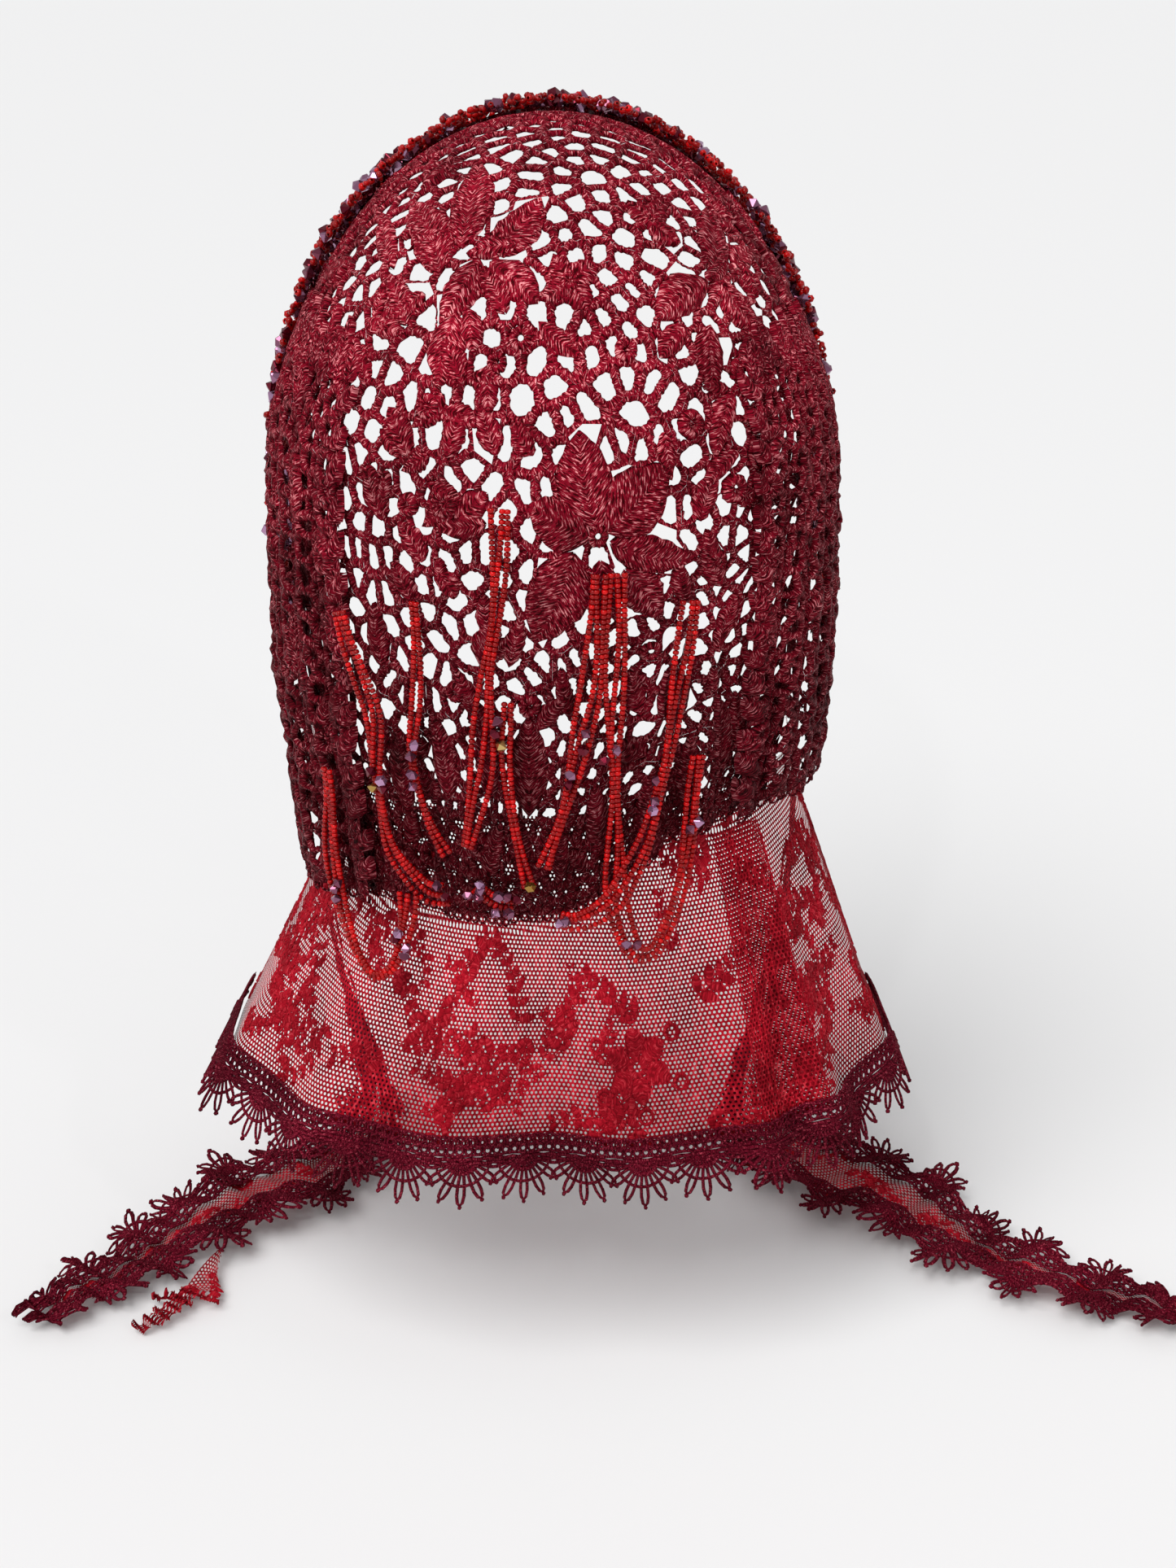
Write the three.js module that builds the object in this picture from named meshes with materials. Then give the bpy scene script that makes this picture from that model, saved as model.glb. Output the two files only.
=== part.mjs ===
// Turban cap in guipure lace, with bead swags, a net neck flap and two ties.
// Millimetres, +Z up. The wearer faces +Y, and the crown rests on the origin.
import * as THREE from 'three';

// Form of the hood, outside
const HOOD_HALF_WIDTH = 91;
const HOOD_BACK = 97;
const HOOD_FRONT = 95;
const CROWN_HEIGHT = 118;
const HEM_DROP = 240;
const FOLD_DEPTH = 3.2;
const FOLD_RUN_IN = 90;
const LACE_THICKNESS = 1.6;
const NET_THICKNESS = 1.2;
const SEAT_GAP = 0.3;

// Front edge, as distances forward of the ears
const HOOD_FRONT_REACH = 33;
const BAND_REAR = 24.6;
const BAND_WIDTH = 13.4;
const BAND_STANDOFF = 0.8;
const BEAD_FIELD_RADIUS = 2.8;

// Extent of the hood and of the side lace round the head, in degrees from the back
const HOOD_SPAN = 64;
const CROWN_SHARE = 0.62;
const HOOD_CELLS_ACROSS = 7;
const HOOD_CELLS_DOWN = 15;
const SIDE_INNER_EDGE = 40;
const SIDE_TOP_DROP = 62;
const SIDE_TOP_FALL = 10;
const SIDE_CELLS_ACROSS = 4;
const SIDE_CELLS_DOWN = 9;
const SIDE_STANDOFF = 1.7;
const SIDE_GATHER = 1.1;

// Neck flap and its trim
const FLAP_SPAN = 97;
const FLAP_TUCK = 10;
const FLAP_FREE = 7;
const FLAP_HEM_DROP = 322;
const FLAP_FLARE = 33;
const FLAP_BACK_FLARE = 9;
const FLAP_FOLD_DEPTH = 6;
const TRIM_WIDTH = 26;
const TRIM_LAP = 7;
const TRIM_HEADER_SHOWN = 2;
const TRIM_FANS = 18;
const FLAP_STANDOFF = 1.9;
const FLAP_TRIM_STANDOFF = 1.1;

// Ties
const TABLE_DROP = 416;
const RIGHT_TIE_REACH = 150;
const LEFT_TIE_REACH = 111;
const TIE_HALF_WIDTH = 31;
const TIE_TRIM_WIDTH = 22;
const TIE_TRIM_LAP = 4;
const TIE_FANS = 15;
const TIE_TRIM_STANDOFF = 0.7;
const TIE_SLOT = 1.2;
const TIE_CRUMPLE = 1;
const TIE_START_GAP = 0.8;
const TIE_END_SHARE = 0.9;

// Torn scrap of net, tucked under the left tie's fans
const SCRAP_AT = 0.681;
const SCRAP_LAP = 4.9;
const SCRAP_TUCK = 0.2;
const SCRAP_LENGTH = 47;
const SCRAP_HALF_WIDTH = 5;

// Bead strands
const SWAG_RADIUS = 2.4;
const SWAG_SEAT = 0.7;
const SWAG_STEP = 11;

// The lace hangs below the ears: drop below the crown in crown heights, and shares of the
// hood's half width and back
const DRAPE = [
  { drop: 1, half: 1, back: 1 },
  { drop: 1.27, half: 1.006, back: 0.99 },
  { drop: 1.57, half: 1.006, back: 0.97 },
  { drop: 1.78, half: 0.98, back: 0.95 },
  { drop: 2.12, half: 0.945, back: 0.93 },
  { drop: 3.39, half: 0.945, back: 0.93 },
];

// Lower edge of the hood and side lace: angle from the back, share of the hem's drop
const HEM = [
  { angle: -115, drop: 1.025 },
  { angle: -70, drop: 1.042 },
  { angle: -38, drop: 0.992 },
  { angle: -10, drop: 1 },
  { angle: 6, drop: 0.979 },
  { angle: 24, drop: 0.892 },
  { angle: 50, drop: 0.867 },
  { angle: 80, drop: 0.9 },
  { angle: 115, drop: 0.925 },
];

// Vertical folds in the hanging lace: angle from the back, share of the fold depth, and spread
const FOLDS = [
  { angle: -37, depth: 1, spread: 6 },
  { angle: -18, depth: 0.81, spread: 5 },
  { angle: 3, depth: 0.56, spread: 6 },
  { angle: 20, depth: 0.88, spread: 5 },
  { angle: 33, depth: 0.94, spread: 5 },
  { angle: 58, depth: 0.69, spread: 7 },
  { angle: -60, depth: 0.69, spread: 7 },
];

// Folds of the net flap: angle from the back, share of the flap's fold depth, and spread
const FLAP_FOLDS = [
  { angle: -72, depth: 0.83, spread: 8 },
  { angle: -46, depth: 0.67, spread: 7 },
  { angle: -20, depth: 0.5, spread: 9 },
  { angle: 12, depth: 0.5, spread: 8 },
  { angle: 38, depth: 0.83, spread: 5 },
  { angle: 52, depth: 1, spread: 5 },
  { angle: 74, depth: 0.83, spread: 8 },
];

const rad = THREE.MathUtils.degToRad;
const lerp = THREE.MathUtils.lerp;
const clamp = THREE.MathUtils.clamp;
const vec = (x, y, z) => new THREE.Vector3(x, y, z);

// Value of a named column at a place in a table
function lookUp(table, key, at, column) {
  const last = table[table.length - 1];
  if (at <= table[0][key]) return table[0][column];
  for (let i = 1; i < table.length; i++) {
    const [from, to] = [table[i - 1], table[i]];
    if (at <= to[key]) {
      return lerp(from[column], to[column], (at - from[key]) / (to[key] - from[key]));
    }
  }
  return last[column];
}

// Steady pseudo-random number from 0 to 1 for a pair of whole numbers
function scatter(i, j) {
  const s = Math.sin(i * 127.1 + j * 311.7) * 43758.5453;
  return s - Math.floor(s);
}

// Share of the fold depth that the folds of a table reach at an angle
function foldDepth(folds, angle) {
  let sum = 0;
  for (const fold of folds) {
    sum += fold.depth * Math.exp(-(((angle - fold.angle) / fold.spread) ** 2));
  }
  return sum;
}

const hemDrop = (angle) => HEM_DROP * lookUp(HEM, 'angle', angle, 'drop');

// Point of the hood's outer form at an angle from the back and a drop below the crown
function bodyPoint(angle, drop, depth = FOLD_DEPTH) {
  const a = rad(angle);
  let half = HOOD_HALF_WIDTH;
  let back = Math.cos(a) > 0 ? HOOD_BACK : HOOD_FRONT;
  let fold = 0;
  if (drop < CROWN_HEIGHT) {
    const level = Math.sqrt(Math.max(1 - ((CROWN_HEIGHT - drop) / CROWN_HEIGHT) ** 2, 0));
    half *= level;
    back *= level;
  } else {
    half *= lookUp(DRAPE, 'drop', drop / CROWN_HEIGHT, 'half');
    back *= lookUp(DRAPE, 'drop', drop / CROWN_HEIGHT, 'back');
    fold = depth * foldDepth(FOLDS, angle) * clamp((drop - CROWN_HEIGHT) / FOLD_RUN_IN, 0, 1);
  }
  return vec((half + fold) * Math.sin(a), -(back + fold) * Math.cos(a), -drop);
}

// Point of the hood over the crown: arch angle across the head, tilt from the front to the back
function domePoint(across, tilt) {
  const w = rad(across);
  const q = rad(tilt);
  const reach = tilt > 0 ? HOOD_BACK : HOOD_FRONT;
  return vec(
    HOOD_HALF_WIDTH * Math.sin(w),
    -reach * Math.cos(w) * Math.sin(q),
    -CROWN_HEIGHT + CROWN_HEIGHT * Math.cos(w) * Math.cos(q),
  );
}

// A surface function with the outward direction worked out beside each point
function withNormal(surface) {
  return (u, v, lift = 0) => {
    const step = 0.004;
    const here = surface(u, v);
    const du = surface(u + step, v).sub(surface(u - step, v));
    const dv = surface(u, v + step).sub(surface(u, v - step));
    return here.addScaledVector(dv.cross(du).normalize(), lift);
  };
}

// Closed cloth body: an outer layer of faces, the same faces inside it, and a wall along free edges
function clothGeometry(outer, inner, faces) {
  const positions = [];
  const put = (...points) => points.forEach((p) => positions.push(p.x, p.y, p.z));
  const edges = new Set();
  for (const [a, b, c] of faces) {
    put(outer[a], outer[b], outer[c]);
    put(inner[a], inner[c], inner[b]);
    [`${a},${b}`, `${b},${c}`, `${c},${a}`].forEach((edge) => edges.add(edge));
  }
  for (const edge of edges) {
    const [a, b] = edge.split(',').map(Number);
    if (edges.has(`${b},${a}`)) continue;
    put(outer[b], outer[a], inner[a]);
    put(outer[b], inner[a], inner[b]);
  }
  const geometry = new THREE.BufferGeometry();
  geometry.setAttribute('position', new THREE.Float32BufferAttribute(positions, 3));
  geometry.computeVertexNormals();
  return geometry;
}

// Cloth over a surface, from named columns and rows; a skipped cell is left open
function clothGrid(surface, columns, rows, thickness, lift, skip = () => false) {
  const outer = [];
  const inner = [];
  const faces = [];
  for (const v of rows) {
    for (const u of columns) {
      outer.push(surface(u, v, lift + thickness));
      inner.push(surface(u, v, lift));
    }
  }
  const wide = columns.length;
  for (let j = 0; j + 1 < rows.length; j++) {
    for (let i = 0; i + 1 < wide; i++) {
      if (skip(i, j)) continue;
      const a = j * wide + i;
      faces.push([a, a + wide, a + wide + 1], [a, a + wide + 1, a + 1]);
    }
  }
  return clothGeometry(outer, inner, faces);
}

// Lace over a surface: brick-laid six-sided cells with scattered corners, each open or closed
function laceGeometry(surface, across, down, opening, isOpen, thickness, lift) {
  const outer = [];
  const inner = [];
  const faces = [];
  const known = new Map();
  const place = (u, v) => {
    outer.push(surface(u, v, lift + thickness));
    inner.push(surface(u, v, lift));
    return outer.length - 1;
  };
  const corner = (i, j) => {
    const key = `${i},${j}`;
    if (!known.has(key)) {
      const side = i === 0 || i === 2 * across;
      const end = j === 0 || j === down;
      const zigzag = end ? 0 : ((i + j) % 2 === 0 ? 0.16 : -0.16);
      const du = side ? 0 : (scatter(i, j) - 0.5) * 0.34;
      const dv = end ? 0 : (scatter(j, i + 50) - 0.5) * 0.24;
      const u = (i / 2 + du / 2) / across;
      const v = (j + zigzag + dv) / down;
      known.set(key, { u, v, id: place(u, v) });
    }
    return known.get(key);
  };
  for (let j = 0; j < down; j++) {
    for (let k = 0; k <= across; k++) {
      const left = 2 * k - (j % 2);
      const spots = [];
      for (const [i, row] of [[left, j], [left, j + 1], [left + 1, j + 1],
        [left + 2, j + 1], [left + 2, j], [left + 1, j]]) {
        if (i >= 0 && i <= 2 * across) spots.push(corner(i, row));
      }
      if (spots.length < 4) continue;
      const n = spots.length;
      const cu = spots.reduce((sum, s) => sum + s.u, 0) / n;
      const cv = spots.reduce((sum, s) => sum + s.v, 0) / n;
      if (n === 6 && isOpen(cu, cv, k, j)) {
        const ring = spots.map((s) => place(lerp(cu, s.u, opening), lerp(cv, s.v, opening)));
        for (let m = 0; m < n; m++) {
          const next = (m + 1) % n;
          faces.push([spots[m].id, spots[next].id, ring[next]]);
          faces.push([spots[m].id, ring[next], ring[m]]);
        }
      } else {
        for (let m = 1; m + 1 < n; m++) {
          faces.push([spots[0].id, spots[m].id, spots[m + 1].id]);
        }
      }
    }
  }
  return clothGeometry(outer, inner, faces);
}

const group = new THREE.Group();
group.name = 'turban_cap';

const guipure = new THREE.MeshStandardMaterial({ color: 0x8c1230, roughness: 0.55, metalness: 0 });
const darkGuipure = new THREE.MeshStandardMaterial({ color: 0x5c0a1e, roughness: 0.6, metalness: 0 });
const net = new THREE.MeshStandardMaterial({ color: 0xb01c30, roughness: 0.7, metalness: 0 });
const seedBead = new THREE.MeshStandardMaterial({ color: 0xa81218, roughness: 0.2, metalness: 0 });

function addPiece(name, geometry, material) {
  const mesh = new THREE.Mesh(geometry, material);
  mesh.name = name;
  group.add(mesh);
  return mesh;
}

// Hood over the crown, and then hanging down to the hem
function hoodSurface(u, v) {
  const spread = v < CROWN_SHARE ? 1 : lerp(1, 0.8, (v - CROWN_SHARE) / (1 - CROWN_SHARE));
  const across = (2 * u - 1) * HOOD_SPAN * spread;
  if (v <= CROWN_SHARE) {
    const reach = HOOD_FRONT * Math.cos(rad(across));
    const front = -THREE.MathUtils.radToDeg(Math.asin(Math.min(HOOD_FRONT_REACH / reach, 0.95)));
    return domePoint(across, lerp(front, 90, v / CROWN_SHARE));
  }
  const fall = (v - CROWN_SHARE) / (1 - CROWN_SHARE);
  return bodyPoint(across, lerp(CROWN_HEIGHT, hemDrop(across), fall));
}

// Closed cells of the hood, where leaves, flowers and rosettes fill the lace
const HOOD_MOTIFS = [
  { u: 0.37, v: 0.24 }, { u: 0.29, v: 0.3 }, { u: 0.3, v: 0.42 }, { u: 0.54, v: 0.33 },
  { u: 0.76, v: 0.32 }, { u: 0.84, v: 0.42 }, { u: 0.55, v: 0.49 }, { u: 0.62, v: 0.53 },
  { u: 0.5, v: 0.57 }, { u: 0.51, v: 0.65 }, { u: 0.66, v: 0.64 }, { u: 0.16, v: 0.5 },
  { u: 0.3, v: 0.8 }, { u: 0.72, v: 0.82 },
];

const hoodOpen = (u, v) => v < 0.95 && v > 0.04
  && !HOOD_MOTIFS.some((m) => Math.hypot((u - m.u) * 1.1, v - m.v) < 0.045);

addPiece('crown_lace', laceGeometry(
  withNormal(hoodSurface), HOOD_CELLS_ACROSS, HOOD_CELLS_DOWN, 0.66, hoodOpen,
  LACE_THICKNESS, -LACE_THICKNESS,
), guipure);

// Side lace: the same cells, smaller and gathered, over the hood's edge
function sideSurface(sign) {
  const outerEdge = 90 + THREE.MathUtils.radToDeg(Math.asin((BAND_REAR - SEAT_GAP) / HOOD_FRONT));
  return (u, v) => {
    const share = sign > 0 ? u : 1 - u;
    const inset = 6 * (1 - v);
    const angle = sign * lerp(SIDE_INNER_EDGE + inset, outerEdge, share);
    const top = SIDE_TOP_DROP + SIDE_TOP_FALL * share * share;
    const point = bodyPoint(angle, lerp(top, hemDrop(angle), v));
    const gathers = SIDE_GATHER * (1 - Math.cos(share * Math.PI * 10)) * Math.sin(Math.PI * Math.min(v, 0.5));
    const level = Math.hypot(point.x, point.y);
    point.x *= 1 + gathers / level;
    point.y *= 1 + gathers / level;
    return point;
  };
}

const sideOpen = (u, v, k, j) => v > 0.08 && v < 0.92 && (k + 2 * j) % 3 !== 0;

for (const [name, sign] of [['side_lace_left', -1], ['side_lace_right', 1]]) {
  addPiece(name, laceGeometry(
    withNormal(sideSurface(sign)), SIDE_CELLS_ACROSS, SIDE_CELLS_DOWN, 0.6, sideOpen,
    LACE_THICKNESS, SIDE_STANDOFF,
  ), guipure);
}

// Front edge: an arch over the head at a distance forward of the ears
const BAND_RISE = Math.PI / 2;

function frontArch(along, forward) {
  const level = Math.sqrt(1 - (forward / HOOD_FRONT) ** 2);
  const side = Math.sign(along);
  const turn = Math.abs(along);
  if (turn <= 1) {
    return vec(
      HOOD_HALF_WIDTH * level * Math.sin(along * BAND_RISE),
      forward,
      -CROWN_HEIGHT + CROWN_HEIGHT * level * Math.cos(along * BAND_RISE),
    );
  }
  const drop = lerp(CROWN_HEIGHT, hemDrop(side * 110), turn - 1);
  const half = HOOD_HALF_WIDTH * lookUp(DRAPE, 'drop', drop / CROWN_HEIGHT, 'half');
  return vec(side * half * level, forward, -drop);
}

const archSurface = withNormal((u, v) => frontArch(
  lerp(-2, 2, u),
  lerp(BAND_REAR, BAND_REAR + BAND_WIDTH, v),
));
const steps = (count) => Array.from({ length: count + 1 }, (_, i) => i / count);
// The arch runs the other way round from the hood, so its rows are turned
const archOut = (u, v, lift) => archSurface(u, v, -lift);
const bandColumns = steps(32);

function turnedGrid(surface, columns, rows, thickness, lift) {
  return clothGrid((u, v, l) => surface(v, u, l), columns, rows, thickness, lift);
}

addPiece('front_band', turnedGrid(archOut, steps(2), bandColumns, LACE_THICKNESS, BAND_STANDOFF), guipure);

// Round body along a path: rings of points with a radius at each, and closed ends
function ropeGeometry(path, radii, sides) {
  const outer = [];
  const positions = [];
  const put = (...points) => points.forEach((p) => positions.push(p.x, p.y, p.z));
  let side = vec(0.31, 0.83, 0.47);
  path.forEach((point, k) => {
    const ahead = path[Math.min(k + 1, path.length - 1)].clone().sub(path[Math.max(k - 1, 0)]).normalize();
    side = side.clone().addScaledVector(ahead, -side.dot(ahead)).normalize();
    const other = ahead.clone().cross(side);
    const ring = [];
    for (let m = 0; m < sides; m++) {
      const turn = (m / sides) * 2 * Math.PI;
      ring.push(point.clone()
        .addScaledVector(side, radii[k] * Math.cos(turn))
        .addScaledVector(other, radii[k] * Math.sin(turn)));
    }
    outer.push(ring);
  });
  for (let k = 0; k + 1 < outer.length; k++) {
    for (let m = 0; m < sides; m++) {
      const n = (m + 1) % sides;
      put(outer[k][m], outer[k][n], outer[k + 1][n]);
      put(outer[k][m], outer[k + 1][n], outer[k + 1][m]);
    }
  }
  const [first, last] = [outer[0], outer[outer.length - 1]];
  for (let m = 1; m + 1 < sides; m++) {
    put(first[0], first[m + 1], first[m]);
    put(last[0], last[m], last[m + 1]);
  }
  const geometry = new THREE.BufferGeometry();
  geometry.setAttribute('position', new THREE.Float32BufferAttribute(positions, 3));
  geometry.computeVertexNormals();
  return geometry;
}

// Field of beads on the band: its girth swells and thins from cluster to cluster
const beadLift = BAND_STANDOFF + LACE_THICKNESS + SEAT_GAP + BEAD_FIELD_RADIUS;
const beadPath = [];
const beadRadii = [];
for (const share of steps(48)) {
  beadPath.push(archOut(lerp(0.14, 0.86, share), 0.5, beadLift));
  beadRadii.push(BEAD_FIELD_RADIUS * (0.8 + 0.2 * Math.cos(share * 48 * Math.PI)));
}
addPiece('front_beads', ropeGeometry(beadPath, beadRadii, 8), seedBead);

// Neck flap: straight inside the hood, then flared to its hem
function flapForm(angle, drop) {
  const start = hemDrop(angle) + FLAP_FREE;
  const flare = clamp((drop - start) / (FLAP_HEM_DROP - start), 0, 2);
  const a = rad(angle);
  const base = bodyPoint(angle, Math.min(drop, start), 0);
  const wide = FLAP_FLARE * Math.abs(Math.sin(a)) + FLAP_BACK_FLARE * Math.cos(a);
  const waves = FLAP_FOLD_DEPTH * foldDepth(FLAP_FOLDS, angle) * flare;
  const out = flare * wide * 1.02 + waves;
  return vec(base.x + out * Math.sin(a), base.y - out * Math.cos(a) * 0.8, -drop);
}

// The flap's top edge lies inside the hood, above the highest place of the hem
const flapTop = HEM_DROP * Math.min(...HEM.map((spot) => spot.drop)) - FLAP_TUCK;
const flapSurface = withNormal((u, v) => flapForm(
  lerp(-FLAP_SPAN, FLAP_SPAN, u),
  lerp(flapTop, FLAP_HEM_DROP, v),
));
const inside = -(LACE_THICKNESS + FLAP_STANDOFF + NET_THICKNESS);
addPiece('neck_flap', clothGrid(flapSurface, steps(2 * TRIM_FANS), steps(5), NET_THICKNESS, inside), net);

// Trim: a straight header on the net's hem and a fan of loops below it for each repeat
const FAN_OUTLINE = [
  { share: 0, reach: 0.3 },
  { share: 0.3, reach: 1 },
  { share: 0.7, reach: 1 },
  { share: 1, reach: 0.3 },
];

function fanColumns(count) {
  const columns = [];
  for (let fan = 0; fan < count; fan++) {
    for (const spot of FAN_OUTLINE.slice(0, -1)) {
      columns.push({ at: (fan + spot.share) / count, reach: spot.reach });
    }
  }
  columns.push({ at: 1, reach: FAN_OUTLINE[0].reach });
  return columns;
}

const trimColumns = fanColumns(TRIM_FANS);
const headerShare = (TRIM_LAP + TRIM_HEADER_SHOWN) / TRIM_WIDTH;

function trimSurface(u, v) {
  const reach = lookUp(trimColumns, 'at', u, 'reach');
  const across = v <= 1 ? headerShare * v : headerShare + (1 - headerShare) * (v - 1) * reach;
  const drop = FLAP_HEM_DROP - TRIM_LAP + TRIM_WIDTH * across;
  return flapForm(lerp(-FLAP_SPAN, FLAP_SPAN, u), drop);
}

addPiece('flap_trim', clothGrid(
  withNormal(trimSurface), trimColumns.map((c) => c.at), [0, 1, 2],
  LACE_THICKNESS, inside + NET_THICKNESS + FLAP_TRIM_STANDOFF,
), darkGuipure);

// Ties: route of the middle line from the band's lower end to the pointed end on the table.
// How far it runs outwards and ahead of its start are shares of the tie's reach, its height above
// the table is a share of the start's, and half its width a share of the greatest one
const RIGHT_TIE = [
  { out: 0.012, ahead: 0.031, rise: 0.854, half: 0.39, heading: 86 },
  { out: 0.005, ahead: 0.105, rise: 0.569, half: 0.71, heading: 78 },
  { out: -0.035, ahead: 0.171, rise: 0.285, half: 0.87, heading: 66 },
  { out: -0.055, ahead: 0.178, rise: 0.083, half: 0.94, heading: 56 },
  { out: -0.001, ahead: 0.085, rise: 0.016, half: 0.97, heading: 50 },
  { out: 0.152, ahead: -0.089, rise: 0.026, half: 1, heading: 48 },
  { out: 0.292, ahead: -0.222, rise: 0.041, half: 0.97, heading: 47 },
  { out: 0.405, ahead: -0.342, rise: 0.031, half: 0.87, heading: 45 },
  { out: 0.525, ahead: -0.462, rise: 0.021, half: 0.74, heading: 50 },
  { out: 0.672, ahead: -0.562, rise: 0.026, half: 0.65, heading: 60 },
  { out: 0.819, ahead: -0.635, rise: 0.016, half: 0.55, heading: 66 },
  { out: 0.932, ahead: -0.675, rise: 0.016, half: 0.35, heading: 70 },
  { out: 1, ahead: -0.695, rise: 0.01, half: 0.1, heading: 72 },
];
const LEFT_TIE = [
  { out: 0.034, ahead: 0.042, rise: 0.827, half: 0.39, heading: 86 },
  { out: 0.016, ahead: 0.15, rise: 0.532, half: 0.65, heading: 78 },
  { out: -0.056, ahead: 0.241, rise: 0.26, half: 0.74, heading: 64 },
  { out: -0.092, ahead: 0.232, rise: 0.071, half: 0.77, heading: 52 },
  { out: -0.011, ahead: 0.06, rise: 0.018, half: 0.84, heading: 48 },
  { out: 0.169, ahead: -0.174, rise: 0.035, half: 0.94, heading: 46 },
  { out: 0.35, ahead: -0.336, rise: 0.053, half: 0.9, heading: 50 },
  { out: 0.521, ahead: -0.489, rise: 0.035, half: 0.81, heading: 44 },
  { out: 0.656, ahead: -0.651, rise: 0.024, half: 0.68, heading: 42 },
  { out: 0.791, ahead: -0.786, rise: 0.024, half: 0.55, heading: 45 },
  { out: 0.899, ahead: -0.886, rise: 0.018, half: 0.42, heading: 48 },
  { out: 0.998, ahead: -0.967, rise: 0.012, half: 0.1, heading: 48 },
];

// First station of a tie, just below the end of the band
function tieStart(sign) {
  const end = frontArch(2 * sign, BAND_REAR + BAND_WIDTH / 2);
  const rise = end.z + TABLE_DROP - TIE_START_GAP;
  const x = Math.abs(end.x) + BAND_STANDOFF;
  return { x, y: end.y, rise, half: BAND_WIDTH / 2, heading: 90 };
}

// Stations of a strip from its first one and a table of shares
function stations(start, reach, half, table) {
  const others = table.map((row) => ({
    x: start.x + reach * row.out,
    y: start.y + reach * row.ahead,
    rise: start.rise * row.rise,
    half: half * row.half,
    heading: row.heading,
  }));
  return [start, ...others];
}

// Strip of cloth along a route: its columns, the half width inside its trim, and its points
function stripForm(route, sign) {
  const curve = new THREE.CatmullRomCurve3(
    route.map((t) => vec(t.x, t.y, t.rise - TABLE_DROP)), false, 'centripetal',
  );
  const marked = route.map((t, i) => ({ ...t, at: i / (route.length - 1) }));
  const column = (at, name) => lookUp(marked, 'at', at, name);
  const innerHalf = (at) => Math.max(column(at, 'half') - TIE_TRIM_WIDTH, TIE_SLOT);
  const point = (across, at) => {
    const middle = curve.getPoint(clamp(at, 0, 1));
    const turn = rad(column(at, 'heading'));
    return vec(
      sign * (middle.x + across * Math.cos(turn)),
      middle.y + across * Math.sin(turn),
      middle.z + TIE_CRUMPLE * Math.sin(at * 42) * clamp((at - 0.1) * 8, 0, 1),
    );
  };
  return { column, innerHalf, point };
}

const rightTie = stripForm(stations(tieStart(1), RIGHT_TIE_REACH, TIE_HALF_WIDTH, RIGHT_TIE), 1);
const leftTie = stripForm(stations(tieStart(-1), LEFT_TIE_REACH, TIE_HALF_WIDTH, LEFT_TIE), -1);

for (const [side, sign, tie] of [['left', -1, leftTie], ['right', 1, rightTie]]) {
  const rows = fanColumns(TIE_FANS);
  const netRows = rows.map((r) => r.at).filter((at) => at <= TIE_END_SHARE);
  const netSurface = withNormal((u, v) => {
    return tie.point(sign * (2 * u - 1) * (tie.innerHalf(v) + TIE_TRIM_LAP), v);
  });
  addPiece(`tie_${side}_net`, clothGrid(netSurface, steps(2), netRows, NET_THICKNESS, 0), net);

  const trimTie = withNormal((u, v) => {
    const inner = tie.innerHalf(v);
    const reach = lerp(0.45, 1, lookUp(rows, 'at', v, 'reach'));
    const full = lerp(inner, Math.max(tie.column(v, 'half'), inner + 2), reach);
    const beyond = Math.max(Math.abs(u) - 1, 0);
    const across = Math.sign(u) * (Math.min(Math.abs(u), 1) * inner + beyond * (full - inner));
    return tie.point(sign * across, v);
  });
  addPiece(`tie_${side}_trim`, clothGrid(
    trimTie, [-2, -1, 1, 2], rows.map((r) => r.at), LACE_THICKNESS, NET_THICKNESS + TIE_TRIM_STANDOFF,
    (i, j) => i === 1 && rows[j].at < TIE_END_SHARE + 0.02,
  ), darkGuipure);
}

// Scrap: it starts just under the left tie's fans, and its places are shares of its length
const SCRAP = [
  { out: 0.117, ahead: -0.34, rise: 0.59, half: 1, heading: 15 },
  { out: 0.223, ahead: -0.553, rise: 0.78, half: 0.6, heading: 30 },
  { out: 0.372, ahead: -0.702, rise: 0.59, half: 0.8, heading: 40 },
  { out: 0.543, ahead: -0.83, rise: 0.29, half: 0.3, heading: 50 },
];
const tuckedEnd = leftTie.point(SCRAP_LAP - leftTie.column(SCRAP_AT, 'half'), SCRAP_AT);
const scrapStart = {
  x: -tuckedEnd.x,
  y: tuckedEnd.y,
  rise: tuckedEnd.z + TABLE_DROP - SCRAP_TUCK,
  half: SCRAP_HALF_WIDTH * 0.8,
  heading: 20,
};
const scrap = stripForm(stations(scrapStart, SCRAP_LENGTH, SCRAP_HALF_WIDTH, SCRAP), -1);
addPiece('net_scrap', clothGrid(
  withNormal((u, v) => scrap.point(-(2 * u - 1) * scrap.column(v, 'half'), v)),
  steps(2), steps(8), NET_THICKNESS, 0,
), net);

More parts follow.
